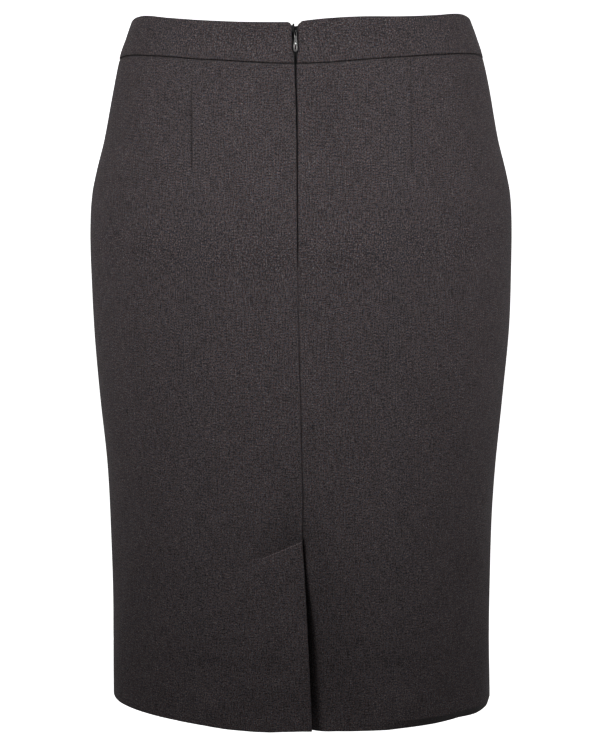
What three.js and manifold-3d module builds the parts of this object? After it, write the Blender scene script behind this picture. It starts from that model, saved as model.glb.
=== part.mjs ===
// A knee-length pencil skirt, filled out as it is when worn, in millimetres.
// Origin: the middle of the waist, at half the height of the waistband.
// Axes: +Z up, -Y towards the back of the skirt, with the zip and the vent, and +X to the wearer's right.
import * as THREE from "three";
import { mergeVertices } from "three/addons/utils/BufferGeometryUtils.js";
import Module from "manifold-3d";

const wasm = await Module();
wasm.setup();

// Cloth and seams
const CLOTH = 1.2;
const TURNED_CLOTH = 2.4;
const WAISTBAND_CLOTH = 2.0;
const WAISTBAND_PROUD = 0.3;
const SEAM_GAP = 0.3;

// Heights of the main features along the centre back
const DART_TIP = -112;
const ZIP_END = -180;
const SEAM_DIPS_FROM = -410;
const VENT_TOP = -422.6;
const HEM_TURN_TOP = -547;
const HEM_TURN_STEP = 1.5;
const HEM_SAGS_FROM = -520;
const HEM_ROLL_TOP = -584.7;
const HEM = -592;

// The vent: the left back panel laps over an underlap that is cut in one with the right back panel
const UNDERLAP_WIDTH = 36;
const UNDERLAP_SLOPE = 0.43;
const SLANT_FADES_IN = 100;
const LAYER_DROP = TURNED_CLOTH + 0.4;
const VENT_SPREAD = 6.2;
const VENT_SPREAD_LENGTH = 110;
const FLAP_LIFT = 3;
const FLAP_LIFT_REACH = 45;
const TRENCH_SIDE = 1.35;
const TRENCH_HOLLOW = 1.5;
const TRENCH_REACH = 15;
const STITCH_LEDGE = 1.4;
const PUCKER_DEPTH = 3.8;
const PUCKER_ABOVE = 16;
const PUCKER_BELOW = 0.5;
const PUCKER_BELOW_UNDERLAP = 12;
const PUCKER_END = 16;

// Darts, front and back
const DART_GROOVE = 0.7;
const DART_FADE = 12;
const BACK_DART = { top: 86.7, tip: 90.4, topZ: -20, tipZ: DART_TIP };
const FRONT_DART = { top: 74, tip: 79, topZ: -38, tipZ: -128 };

// The concealed zip
const EDGE_ROLL = 0.6;
const EDGE_ROLL_REACH = 2.5;
const EDGE_ROLL_FADE = 8;
const TAPE_WIDTH = 12;
const TAPE_CLOTH = 1.0;
const TAPE_TOP_LEFT = 10.8;
const TAPE_TOP_RIGHT = 8.5;
const TAPE_BOTTOM = -203;
const TAPE_DEPTH_WAISTBAND = 2.8;
const TAPE_DEPTH_PANEL = 2.3;
const TAPE_STEPS_FROM = -28;
const TAPE_STEPS_TO = -40;
const TAPE_OPENS_FROM = -12;
const TAPE_OPENS_TO = -6;
const TAPE_OPEN_HALF = 1.0;
const TAPE_ROWS = 16;
const TAPE_COLUMNS = 3;
const PIVOT = { x: -4.9, z: 2.2, out: -0.1 };
const LUG_RADIUS = 2.0;
const LUG_HOLE = 0.85;
const LUG_WIDTH = 1.2;
const NECK_HEIGHT = 3.0;
const BODY_DEPTH_FROM = 4.1;
const BODY_DEPTH_TO = 6.4;
const BODY_HALF = 3.3;
const BODY_TAPER = 0.7;
const BODY_SHOULDER = 0.6;
const BODY_CORNER = 1.5;
const BODY_LOW = -6.7;
const BODY_HIGH = 6.4;
const METAL_OVERLAP = 0.45;
const PULL_LENGTH = 15.2;
const PULL_HALF = 1.85;
const PULL_WIDENS_TO = -9.4;
const PULL_THICK = 1.0;
const PULL_NECK_HALF = 1.05;
const PULL_NECK_FROM = -3.65;
const PULL_NECK_TO = -4.65;
const PIN_RADIUS = 0.5;
const WINDOW_HALF = 0.95;
const WINDOW_END = -2.35;
const HEAD_HALF = 1.6;
const HEAD_END = -2.65;
const HOLE_TOP = -7.6;
const HOLE_LOW = -13.0;
const HOLE_RADIUS = 0.6;
const HOLE_BULGE = 0.75;

// Level sections of the figure: half width at the sides, and depth to the back and to the front
const SECTIONS = [
  { z: 20, side: 144.6, back: 92.0, front: 90.0 },
  { z: 0, side: 151.6, back: 95.2, front: 94.0 },
  { z: -18, side: 158.1, back: 98.2, front: 97.6 },
  { z: -45, side: 164.4, back: 104.6, front: 103.8 },
  { z: -90, side: 173.0, back: 117.0, front: 112.6 },
  { z: -116, side: 179.8, back: 124.0, front: 116.2 },
  { z: -138, side: 184.4, back: 129.0, front: 118.4 },
  { z: -168, side: 186.4, back: 132.8, front: 120.2 },
  { z: -205, side: 186.2, back: 134.2, front: 121.2 },
  { z: -260, side: 184.5, back: 133.2, front: 121.2 },
  { z: -320, side: 180.1, back: 130.6, front: 120.2 },
  { z: -380, side: 175.2, back: 127.4, front: 118.8 },
  { z: -440, side: 172.3, back: 124.0, front: 117.4 },
  { z: -500, side: 171.4, back: 121.0, front: 116.0 },
  { z: -592, side: 172.8, back: 116.4, front: 114.0 },
];

// Heights of the waistband's edges, by the angle round from the centre back to the centre front
const WAIST = [
  { turn: 0, topLeft: 11.6, topRight: 12.4, seamLeft: -22.6, seamRight: -22.7 },
  { turn: 8, topLeft: 11.5, topRight: 14.6, seamLeft: -22.5, seamRight: -21.9 },
  { turn: 20, topLeft: 11.8, topRight: 16.2, seamLeft: -20.9, seamRight: -19.4 },
  { turn: 35, topLeft: 13.2, topRight: 16.4, seamLeft: -19.1, seamRight: -17.1 },
  { turn: 50, topLeft: 15.2, topRight: 17.4, seamLeft: -17.0, seamRight: -15.5 },
  { turn: 66, topLeft: 17.2, topRight: 18.9, seamLeft: -16.5, seamRight: -15.1 },
  { turn: 78, topLeft: 15.6, topRight: 17.2, seamLeft: -18.0, seamRight: -16.6 },
  { turn: 90, topLeft: 11.6, topRight: 12.8, seamLeft: -21.6, seamRight: -20.4 },
  { turn: 112, topLeft: 4.4, topRight: 5.0, seamLeft: -28.8, seamRight: -28.2 },
  { turn: 140, topLeft: -3.2, topRight: -3.0, seamLeft: -36.6, seamRight: -36.4 },
  { turn: 180, topLeft: -7.6, topRight: -7.6, seamLeft: -41.2, seamRight: -41.2 },
];

// The line of the centre back seam and of the vent's edge, and half the gap that the zip leaves open
const CENTRE_BACK = [
  { z: 20, x: -5.8, half: 2.6 },
  { z: 9, x: -5.7, half: 2.6 },
  { z: -1, x: -5.3, half: 2.6 },
  { z: -12, x: -4.9, half: 2.6 },
  { z: -15, x: -4.9, half: 1.2 },
  { z: -26, x: -5.0, half: 0.8 },
  { z: -70, x: -3.8, half: 0.6 },
  { z: -135, x: -3.1, half: 0.5 },
  { z: ZIP_END, x: -2.9, half: 0.45 },
  { z: ZIP_END - 12, x: -2.8, half: SEAM_GAP / 2 },
  { z: -300, x: -0.6, half: SEAM_GAP / 2 },
  { z: -357, x: 0.3, half: SEAM_GAP / 2 },
  { z: VENT_TOP, x: 1.0, half: SEAM_GAP / 2 },
  { z: -454, x: 2.9, half: SEAM_GAP / 2 },
  { z: -532, x: 6.8, half: SEAM_GAP / 2 },
  { z: HEM, x: 9.4, half: SEAM_GAP / 2 },
];

// How far the hem hangs below its level, and how far it rolls under, round from the centre back to the right
const HEM_SAG = [
  { turn: -180, low: 0, roll: 0 },
  { turn: -110, low: 0.6, roll: 0 },
  { turn: -72, low: 1.4, roll: 0 },
  { turn: -53, low: 0.5, roll: 0 },
  { turn: -41, low: 0.6, roll: 0 },
  { turn: -30, low: 1.2, roll: 0 },
  { turn: -22, low: 2.6, roll: 0 },
  { turn: -14, low: 2.9, roll: 0 },
  { turn: -9, low: 2.4, roll: 0 },
  { turn: -5, low: 1.3, roll: 0 },
  { turn: 0, low: 0.3, roll: 0 },
  { turn: 10, low: 0.2, roll: 0 },
  { turn: 18, low: 1.7, roll: 0 },
  { turn: 26, low: 3.5, roll: 0 },
  { turn: 36, low: 4.8, roll: 2.4 },
  { turn: 48, low: 6.0, roll: 4.0 },
  { turn: 57, low: 6.8, roll: 4.0 },
  { turn: 69, low: 7.6, roll: 2.8 },
  { turn: 90, low: 7.6, roll: 1.5 },
  { turn: 120, low: 3.0, roll: 0 },
  { turn: 150, low: 0, roll: 0 },
  { turn: 180, low: 0, roll: 0 },
];

// Rows of the panels' walls: each band ends at a height and is cut into so many rows
const BACK_BANDS = [
  { to: DART_TIP, rows: 5 },
  { to: ZIP_END, rows: 3 },
  { to: SEAM_DIPS_FROM, rows: 7 },
  { to: VENT_TOP, rows: 3 },
  { to: VENT_TOP - STITCH_LEDGE, rows: 1 },
  { to: VENT_TOP - 30, rows: 3 },
  { to: HEM_TURN_TOP, rows: 4 },
  { to: HEM_TURN_TOP - HEM_TURN_STEP, rows: 1 },
  { to: HEM_ROLL_TOP, rows: 2 },
  { to: HEM, rows: 2 },
];
const FRONT_BANDS = [
  { to: FRONT_DART.tipZ, rows: 5 },
  { to: HEM_TURN_TOP, rows: 14 },
  { to: HEM_TURN_TOP - HEM_TURN_STEP, rows: 1 },
  { to: HEM_ROLL_TOP, rows: 2 },
  { to: HEM, rows: 2 },
];
const WAIST_FADE = 150;

// Columns of the walls, as shares of the way between two lines of the cut
const CENTRE_TO_DART = [0, 0.02, 0.06, 0.11, 0.18, 0.28, 0.4, 0.57, 0.76, 0.95, 1];
const UNDERLAP_COLUMNS = 6;
const DART_TO_SIDE = [0, 0.04, 0.2, 0.38, 0.54, 0.7, 0.85, 1];
const BETWEEN_FRONT_DARTS = [0, 0.03, 0.17, 0.33, 0.5, 0.67, 0.83, 0.97, 1];
const WAISTBAND_DOWN = [0, 0.03, 0.09, 0.18, 0.4, 0.69, 0.78, 1];
const WAISTBAND_ROUND = [0, 0.012, 0.03, 0.06, 0.12, 0.2, 0.3, 0.4, 0.5, 0.6, 0.7, 0.8, 0.88, 0.94, 1];
const WAISTBAND_FRONT_COLUMNS = 24;
const CORNER_RADIUS = 3.6;

// Colours of the cloth and the zip
const WOOL = new THREE.Color(0.052, 0.046, 0.047);
const ZIP_BLACK = new THREE.Color(0.012, 0.012, 0.013);
const ZIP_METAL = new THREE.Color(0.16, 0.16, 0.17);

const DEGREE = Math.PI / 180;

function ease(share) {
  const s = Math.min(1, Math.max(0, share));
  return s * s * (3 - 2 * s);
}

// A smooth curve through a table: the value of its column where the table's key column is at a value
function along(table, key, at, column) {
  const rising = table[1][key] > table[0][key] ? 1 : -1;
  const last = table.length - 1;
  let i = 0;
  while (i < last - 1 && rising * at > rising * table[i + 1][key]) i += 1;
  const slope = (a, b) => (table[b][column] - table[a][column]) / (table[b][key] - table[a][key]);
  const step = table[i + 1][key] - table[i][key];
  const s = (at - table[i][key]) / step;
  const from = slope(Math.max(0, i - 1), i + 1);
  const to = slope(i, Math.min(last, i + 2));
  if (s < 0) return table[0][column] + from * (at - table[0][key]);
  if (s > 1) return table[last][column] + to * (at - table[last][key]);
  const h = s * s * (3 - 2 * s);
  const bend = step * (from * s * (1 - s) * (1 - s) - to * s * s * (1 - s));
  return table[i][column] * (1 - h) + table[i + 1][column] * h + bend;
}

// A point of the figure's surface, at an angle round from the centre back, moved outwards level
function skin(turn, z, out) {
  const side = along(SECTIONS, "z", z, "side");
  const depth = along(SECTIONS, "z", z, Math.cos(turn) > 0 ? "back" : "front");
  const across = depth * Math.sin(turn);
  const back = -side * Math.cos(turn);
  const size = Math.hypot(across, back);
  return new THREE.Vector3(
    side * Math.sin(turn) + (out * across) / size,
    -depth * Math.cos(turn) + (out * back) / size,
    z,
  );
}

// The angle at which the surface crosses a distance x from the middle, on the back half
function turnAt(x, z) {
  return Math.asin(x / along(SECTIONS, "z", z, "side"));
}

function waistHeight(turn, edge) {
  const column = edge + (Math.sin(turn) < 0 ? "Left" : "Right");
  return along(WAIST, "turn", Math.abs(turn) / DEGREE, column);
}

const centreBack = (z) => along(CENTRE_BACK, "z", z, "x");
const zipHalf = (z) => Math.max(SEAM_GAP / 2, along(CENTRE_BACK, "z", z, "half"));

// A dart's line: slanted down to its tip, and from there straight on down
function dartX(dart, z) {
  const share = Math.min(1, Math.max(0, (dart.topZ - z) / (dart.topZ - dart.tipZ)));
  return dart.top + (dart.tip - dart.top) * share;
}

const ventOpens = (z) => ease((VENT_TOP - z) / (VENT_TOP - HEM));

// How far the left back panel stands off the figure, at s past the centre back line
function leftRelief(s, z, puckerBelow = PUCKER_BELOW) {
  const lift = FLAP_LIFT * ventOpens(z) * Math.exp(-((s / FLAP_LIFT_REACH) ** 2));
  const stitching = VENT_TOP - UNDERLAP_SLOPE * Math.abs(s) - STITCH_LEDGE / 4;
  const above = z - stitching;
  const stitched = 1 - ease((Math.abs(s) - UNDERLAP_WIDTH) / PUCKER_END);
  const pulled = above > 0 ? Math.exp(-above / PUCKER_ABOVE) : Math.exp(above / puckerBelow);
  return lift - stitched * PUCKER_DEPTH * pulled;
}

// The right back panel sinks towards the vent, and its underlap runs on under the left one
function rightRelief(s, z) {
  const under = leftRelief(Math.min(s, 0), z, PUCKER_BELOW_UNDERLAP) * (1 - ease(s / TRENCH_REACH));
  const seamDips = LAYER_DROP * ease((SEAM_DIPS_FROM - z) / (SEAM_DIPS_FROM - VENT_TOP));
  const deep = seamDips + VENT_SPREAD * ease((VENT_TOP - z) / VENT_SPREAD_LENGTH);
  if (deep === 0) return under;
  const level = Math.min(1, Math.max(0, s) / (TRENCH_SIDE * deep));
  return under - deep * (1 - level) ** TRENCH_HOLLOW;
}

// The edges of the zip's opening roll in over the tapes
function edgeRoll(distance, z) {
  const inZip = ease((z - ZIP_END + EDGE_ROLL_FADE) / EDGE_ROLL_FADE);
  return -EDGE_ROLL * inZip * Math.max(0, 1 - distance / EDGE_ROLL_REACH) ** 2;
}

// A column of the hem's table at an angle, in straight steps
function hemAt(turn, column) {
  const angle = turn / DEGREE;
  const i = Math.max(1, HEM_SAG.findIndex((row) => row.turn >= angle));
  const share = (angle - HEM_SAG[i - 1].turn) / (HEM_SAG[i].turn - HEM_SAG[i - 1].turn);
  return HEM_SAG[i - 1][column] * (1 - share) + HEM_SAG[i][column] * share;
}

function hemRoll(turn, level) {
  const low = Math.min(1, Math.max(0, (HEM_ROLL_TOP - level) / (HEM_ROLL_TOP - HEM)));
  return -hemAt(turn, "roll") * low;
}

const turnedThickness = (z) => (z < HEM_TURN_TOP - HEM_TURN_STEP / 2 ? TURNED_CLOTH : CLOTH);

// Heights of a panel's rows under a seam, from its bands
function levels(top, bands) {
  const list = [top];
  for (const band of bands) {
    const from = list[list.length - 1];
    for (let i = 1; i <= band.rows; i += 1) list.push(from + ((band.to - from) * i) / band.rows);
  }
  return list;
}

// A wall through a lattice: at(i, j, inner) is a point of a face, and kept(i, j) says if a cell is cloth
function wall(rows, columns, at, kept = () => true) {
  const positions = [];
  const index = [];
  const numbers = new Map();
  const number = (i, j, inner) => {
    const name = `${i},${j},${inner}`;
    if (!numbers.has(name)) {
      numbers.set(name, positions.length / 3);
      positions.push(...at(i, j, inner).toArray());
    }
    return numbers.get(name);
  };
  const quad = (a, b, c, d) => index.push(a, b, c, a, c, d);
  const cloth = (i, j) => i >= 0 && j >= 0 && i < rows && j < columns && kept(i, j);
  for (let i = 0; i < rows; i += 1) {
    for (let j = 0; j < columns; j += 1) {
      if (!cloth(i, j)) continue;
      const corner = (di, dj, inner) => number(i + di, j + dj, inner);
      quad(corner(0, 0, false), corner(1, 0, false), corner(1, 1, false), corner(0, 1, false));
      quad(corner(0, 0, true), corner(0, 1, true), corner(1, 1, true), corner(1, 0, true));
      const edge = (a, b) => {
        quad(corner(...a, false), corner(...b, false), corner(...b, true), corner(...a, true));
      };
      if (!cloth(i - 1, j)) edge([0, 0], [0, 1]);
      if (!cloth(i + 1, j)) edge([1, 1], [1, 0]);
      if (!cloth(i, j - 1)) edge([1, 0], [0, 0]);
      if (!cloth(i, j + 1)) edge([0, 1], [1, 1]);
    }
  }
  const geometry = new THREE.BufferGeometry();
  geometry.setAttribute("position", new THREE.Float32BufferAttribute(positions, 3));
  geometry.setIndex(index);
  geometry.computeVertexNormals();
  return geometry;
}

// Places of the columns between the lines of a cut, as angles at one height
function columnTurns(lines, shares) {
  const turns = [lines[0]];
  shares.forEach((list, k) => {
    for (const share of list.slice(1)) turns.push(lines[k] + (lines[k + 1] - lines[k]) * share);
  });
  return turns;
}

const backward = (shares) => shares.map((share) => 1 - share).reverse();

// The height of a lattice point: rows follow the waist seam at the top and the hem at the bottom
function rowHeight(level, top, turn) {
  const fade = Math.max(0, 1 - (top - level) / WAIST_FADE);
  const lowered = hemAt(turn, "low") * ease((HEM_SAGS_FROM - level) / (HEM_SAGS_FROM - HEM_ROLL_TOP));
  return level + (waistHeight(turn, "seam") - SEAM_GAP / 2 - top) * fade - lowered;
}

const BACK_SIDE = Math.PI / 2;
const sideGap = (z) => SEAM_GAP / 2 / along(SECTIONS, "z", z, "back");

// The columns of a back panel, from the centre back to its side seam, on the side of a sign
function backTurns(sign, level) {
  const edge = centreBack(level) + sign * zipHalf(level);
  const lines = [turnAt(edge, level), turnAt(sign * dartX(BACK_DART, level), level), 0];
  lines[2] = sign * (BACK_SIDE - sideGap(level));
  return columnTurns(lines, [CENTRE_TO_DART, DART_TO_SIDE]);
}

const dartGroove = (dart, z) => DART_GROOVE * ease((z - dart.tipZ) / DART_FADE);
const BACK_DART_COLUMN = CENTRE_TO_DART.length - 1;
const BACK_TOP = waistHeight(0, "seam") - SEAM_GAP / 2;

// A place in a back panel's lattice: rows of the left one slant down along the stitching of the vent's top
function backPlace(sign, level, j) {
  const turn = backTurns(sign, level)[j];
  const s = skin(turn, level, 0).x - centreBack(level);
  const above = ease((SEAM_DIPS_FROM - level) / (SEAM_DIPS_FROM - VENT_TOP));
  const below = 1 - Math.min(1, Math.max(0, (VENT_TOP - level) / SLANT_FADES_IN));
  const reached = 1 - ease((-s - UNDERLAP_WIDTH) / UNDERLAP_WIDTH);
  const across = Math.max(-UNDERLAP_WIDTH, Math.min(0, s)) * reached;
  const z = rowHeight(level, BACK_TOP, turn) + UNDERLAP_SLOPE * across * above * below;
  return { turn, z, s: skin(turn, z, 0).x - centreBack(z) };
}

function backPoint(sign, level, j, inner) {
  const { turn, z, s } = backPlace(sign, level, j);
  const relief = sign < 0 ? leftRelief(Math.min(s, 0), z) : rightRelief(Math.max(s, 0), z);
  const groove = j === BACK_DART_COLUMN ? dartGroove(BACK_DART, z) : 0;
  const flap = sign < 0 && level <= VENT_TOP && j <= UNDERLAP_COLUMNS;
  const thickness = flap ? TURNED_CLOTH : turnedThickness(level);
  const out = relief - groove + edgeRoll(Math.abs(s) - zipHalf(z), z) + hemRoll(turn, level);
  return skin(turn, z, out - (inner ? thickness : 0));
}

function backPanelLeft() {
  const heights = levels(BACK_TOP, BACK_BANDS);
  const columns = backTurns(-1, 0).length - 1;
  return wall(heights.length - 1, columns, (i, j, inner) => backPoint(-1, heights[i], columns - j, inner));
}

// The right panel has a few more columns below the vent's top, under the same columns of the left one
function underlapPoint(level, j, inner) {
  const { turn, z, s } = backPlace(-1, level, j);
  return skin(turn, z, rightRelief(s, z) - (inner ? turnedThickness(level) : 0));
}

function backPanelRight() {
  const heights = levels(BACK_TOP, BACK_BANDS);
  const ventRow = heights.findIndex((height) => height <= VENT_TOP);
  const columns = UNDERLAP_COLUMNS + backTurns(1, 0).length - 1;
  const at = (i, j, inner) =>
    j < UNDERLAP_COLUMNS
      ? underlapPoint(heights[i], UNDERLAP_COLUMNS - j, inner)
      : backPoint(1, heights[i], j - UNDERLAP_COLUMNS, inner);
  return wall(heights.length - 1, columns, at, (i, j) => j >= UNDERLAP_COLUMNS || i >= ventRow);
}

// The front is one piece with two darts, from the right side seam round to the left one
function frontPanel() {
  const top = waistHeight(BACK_SIDE, "seam") - SEAM_GAP / 2;
  const heights = levels(top, FRONT_BANDS);
  const shares = [backward(DART_TO_SIDE), BETWEEN_FRONT_DARTS, DART_TO_SIDE];
  const grooves = [DART_TO_SIDE.length - 1, DART_TO_SIDE.length + BETWEEN_FRONT_DARTS.length - 2];
  const turnsAt = (level) => {
    const dart = Math.PI - turnAt(dartX(FRONT_DART, level), level);
    const side = BACK_SIDE + sideGap(level);
    return columnTurns([side, dart, 2 * Math.PI - dart, 2 * Math.PI - side], shares);
  };
  const at = (i, j, inner) => {
    const turn = turnsAt(heights[i])[j];
    const round = turn > Math.PI ? turn - 2 * Math.PI : turn;
    const z = rowHeight(heights[i], top, round);
    const groove = grooves.includes(j) ? dartGroove(FRONT_DART, z) : 0;
    const out = hemRoll(round, heights[i]) - groove;
    return skin(turn, z, out - (inner ? turnedThickness(heights[i]) : 0));
  };
  return wall(heights.length - 1, turnsAt(0).length - 1, at);
}

// A stretch of the waistband between two angles; its corner at the zip is rounded off
function waistbandPoint(turn, down, inner, roll) {
  const top = waistHeight(turn, "top");
  const seam = waistHeight(turn, "seam") + SEAM_GAP / 2;
  const out = WAISTBAND_PROUD + roll - (inner ? WAISTBAND_CLOTH : 0);
  return skin(turn, top + (seam - top) * down, out);
}

function waistbandBack(sign) {
  const columns = WAISTBAND_ROUND.length - 1;
  const at = (i, j, inner) => {
    const share = WAISTBAND_ROUND[sign < 0 ? columns - j : j];
    const down = WAISTBAND_DOWN[i];
    const z = waistHeight(0, "top") + (waistHeight(0, "seam") - waistHeight(0, "top")) * down;
    const fromTop = waistHeight(0, "top") - z;
    const cut = Math.max(0, 1 - fromTop / CORNER_RADIUS);
    const corner = CORNER_RADIUS * (1 - Math.sqrt(1 - cut * cut));
    const edge = turnAt(centreBack(z) + sign * (zipHalf(z) + corner), z);
    const turn = edge + (sign * (BACK_SIDE - sideGap(z)) - edge) * share;
    const roll = edgeRoll(Math.abs(skin(turn, z, 0).x - centreBack(z)) - zipHalf(z), z);
    return waistbandPoint(turn, down, inner, roll);
  };
  return wall(WAISTBAND_DOWN.length - 1, columns, at);
}

function waistbandFront() {
  const side = BACK_SIDE + sideGap(0);
  const at = (i, j, inner) => {
    const turn = side + ((2 * Math.PI - 2 * side) * j) / WAISTBAND_FRONT_COLUMNS;
    return waistbandPoint(turn > Math.PI ? turn - 2 * Math.PI : turn, WAISTBAND_DOWN[i], inner, 0);
  };
  return wall(WAISTBAND_DOWN.length - 1, WAISTBAND_FRONT_COLUMNS, at);
}

// The tapes lie behind the edges of the opening, and part above the slider
function zipTape(sign) {
  const top = sign < 0 ? TAPE_TOP_LEFT : TAPE_TOP_RIGHT;
  const at = (i, j, inner) => {
    const z = top + ((TAPE_BOTTOM - top) * i) / TAPE_ROWS;
    const open = ease((z - TAPE_OPENS_FROM) / (TAPE_OPENS_TO - TAPE_OPENS_FROM));
    const inset = SEAM_GAP / 2 + (TAPE_OPEN_HALF - SEAM_GAP / 2) * open;
    const column = sign < 0 ? TAPE_COLUMNS - j : j;
    const middle = z > TAPE_OPENS_TO ? PIVOT.x : centreBack(z);
    const x = middle + sign * (inset + (TAPE_WIDTH * column) / TAPE_COLUMNS);
    const inBand = ease((z - TAPE_STEPS_TO) / (TAPE_STEPS_FROM - TAPE_STEPS_TO));
    const under = TAPE_DEPTH_PANEL + (TAPE_DEPTH_WAISTBAND - TAPE_DEPTH_PANEL) * inBand;
    return skin(turnAt(x, z), z, -under - (inner ? TAPE_CLOTH : 0));
  };
  return wall(TAPE_ROWS, TAPE_COLUMNS, at);
}

function solidOf(geometry) {
  const bare = new THREE.BufferGeometry();
  const source = geometry.index ? geometry.toNonIndexed() : geometry;
  bare.setAttribute("position", source.getAttribute("position"));
  const merged = mergeVertices(bare, 1e-3);
  const corners = merged.index.array;
  const triangles = [];
  for (let i = 0; i < corners.length; i += 3) {
    const [a, b, c] = corners.slice(i, i + 3);
    if (a !== b && b !== c && c !== a) triangles.push(a, b, c);
  }
  const mesh = new wasm.Mesh({
    numProp: 3,
    vertProperties: merged.getAttribute("position").array,
    triVerts: new Uint32Array(triangles),
  });
  return new wasm.Manifold(mesh);
}

function geometryOf(solid) {
  const mesh = solid.getMesh();
  const geometry = new THREE.BufferGeometry();
  geometry.setAttribute("position", new THREE.BufferAttribute(mesh.vertProperties, 3));
  geometry.setIndex(new THREE.BufferAttribute(mesh.triVerts, 1));
  const flat = geometry.toNonIndexed();
  flat.computeVertexNormals();
  return flat;
}

// The slider's body behind the tapes, its neck between them, and the lug that the pull hangs on
function zipSlider() {
  const lug = new THREE.Shape();
  lug.absarc(0, 0, LUG_RADIUS, 0, 2 * Math.PI);
  lug.holes.push(new THREE.Path().absarc(0, 0, LUG_HOLE, 0, 2 * Math.PI, true));
  const ring = new THREE.ExtrudeGeometry(lug, { depth: LUG_WIDTH, bevelEnabled: false, curveSegments: 10 });
  ring.translate(0, 0, -LUG_WIDTH / 2);
  ring.rotateY(Math.PI / 2);
  const neckFrom = LUG_HOLE + METAL_OVERLAP;
  const neckTo = PIVOT.out + BODY_DEPTH_FROM + METAL_OVERLAP;
  const neck = new THREE.BoxGeometry(LUG_WIDTH, neckTo - neckFrom, NECK_HEIGHT);
  neck.translate(0, (neckFrom + neckTo) / 2, 0);
  const outline = new THREE.Shape();
  const middle = (BODY_LOW + BODY_HIGH) / 2;
  outline.moveTo(-BODY_HALF * BODY_TAPER, BODY_LOW);
  outline.lineTo(BODY_HALF * BODY_TAPER, BODY_LOW);
  outline.quadraticCurveTo(BODY_HALF, middle, BODY_HALF, BODY_HIGH - BODY_CORNER);
  outline.quadraticCurveTo(BODY_HALF, BODY_HIGH, BODY_HALF * BODY_SHOULDER, BODY_HIGH);
  outline.lineTo(-BODY_HALF * BODY_SHOULDER, BODY_HIGH);
  outline.quadraticCurveTo(-BODY_HALF, BODY_HIGH, -BODY_HALF, BODY_HIGH - BODY_CORNER);
  outline.quadraticCurveTo(-BODY_HALF, middle, -BODY_HALF * BODY_TAPER, BODY_LOW);
  const depth = BODY_DEPTH_TO - BODY_DEPTH_FROM;
  const body = new THREE.ExtrudeGeometry(outline, { depth, bevelEnabled: false, curveSegments: 4 });
  body.rotateX(Math.PI / 2);
  body.translate(0, BODY_DEPTH_TO + PIVOT.out, 0);
  return geometryOf(solidOf(ring).add(solidOf(neck)).add(solidOf(body)));
}

// The drop-shaped pull: a pin through the lug, a window that clears it, and a long hole lower down
function zipPull() {
  const low = PULL_HALF - PULL_LENGTH;
  const drop = new THREE.Shape();
  drop.moveTo(-HEAD_HALF, PIN_RADIUS);
  drop.lineTo(-HEAD_HALF, HEAD_END);
  drop.quadraticCurveTo(-PULL_NECK_HALF, PULL_NECK_FROM, -PULL_NECK_HALF, PULL_NECK_TO);
  drop.quadraticCurveTo(-PULL_HALF, PULL_WIDENS_TO, -PULL_HALF, low);
  drop.absarc(0, low, PULL_HALF, Math.PI, 2 * Math.PI);
  drop.quadraticCurveTo(PULL_HALF, PULL_WIDENS_TO, PULL_NECK_HALF, PULL_NECK_TO);
  drop.quadraticCurveTo(PULL_NECK_HALF, PULL_NECK_FROM, HEAD_HALF, HEAD_END);
  drop.lineTo(HEAD_HALF, PIN_RADIUS);
  const window = new THREE.Path();
  window.moveTo(-WINDOW_HALF, -PIN_RADIUS);
  window.lineTo(WINDOW_HALF, -PIN_RADIUS);
  window.lineTo(WINDOW_HALF, WINDOW_END);
  window.lineTo(-WINDOW_HALF, WINDOW_END);
  const slot = new THREE.Path();
  const halfway = (HOLE_TOP + HOLE_LOW) / 2;
  slot.moveTo(0, HOLE_TOP);
  slot.quadraticCurveTo(HOLE_BULGE, halfway, HOLE_RADIUS, HOLE_LOW);
  slot.absarc(0, HOLE_LOW, HOLE_RADIUS, 0, -Math.PI, true);
  slot.quadraticCurveTo(-HOLE_BULGE, halfway, 0, HOLE_TOP);
  drop.holes.push(window, slot);
  const options = { depth: PULL_THICK, bevelEnabled: false, curveSegments: 6 };
  const plate = new THREE.ExtrudeGeometry(drop, options);
  plate.rotateX(Math.PI / 2);
  plate.translate(0, PULL_THICK / 2, 0);
  return geometryOf(solidOf(plate));
}

// The cloth's slope at the zip, which the slider and the hanging pull follow
function slopeAtPivot() {
  const up = skin(turnAt(PIVOT.x, 2), 2, 0);
  const down = skin(turnAt(PIVOT.x, -12), -12, 0);
  return Math.atan2(up.y - down.y, up.z - down.z);
}

function zipHardware(name, geometry, colour) {
  const mesh = named(name, geometry, colour, 0.35, 0.9);
  mesh.position.copy(skin(turnAt(PIVOT.x, PIVOT.z), PIVOT.z, PIVOT.out));
  mesh.rotation.x = -slopeAtPivot();
  return mesh;
}

function named(name, geometry, colour, roughness, metalness = 0) {
  const material = new THREE.MeshStandardMaterial({ color: colour, roughness, metalness });
  const mesh = new THREE.Mesh(geometry, material);
  mesh.name = name;
  return mesh;
}

const skirt = new THREE.Group();
skirt.add(
  named("front_panel", frontPanel(), WOOL, 0.9),
  named("back_panel_left", backPanelLeft(), WOOL, 0.9),
  named("back_panel_right", backPanelRight(), WOOL, 0.9),
  named("waistband_front", waistbandFront(), WOOL, 0.9),
  named("waistband_back_left", waistbandBack(-1), WOOL, 0.9),
  named("waistband_back_right", waistbandBack(1), WOOL, 0.9),
  named("zip_tape_left", zipTape(-1), ZIP_BLACK, 0.8),
  named("zip_tape_right", zipTape(1), ZIP_BLACK, 0.8),
  zipHardware("zip_slider", zipSlider(), ZIP_METAL),
  zipHardware("zip_pull", zipPull(), ZIP_METAL),
);

export default skirt;
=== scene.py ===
import math

import bpy
import numpy as np
from mathutils import Matrix, Vector


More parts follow.
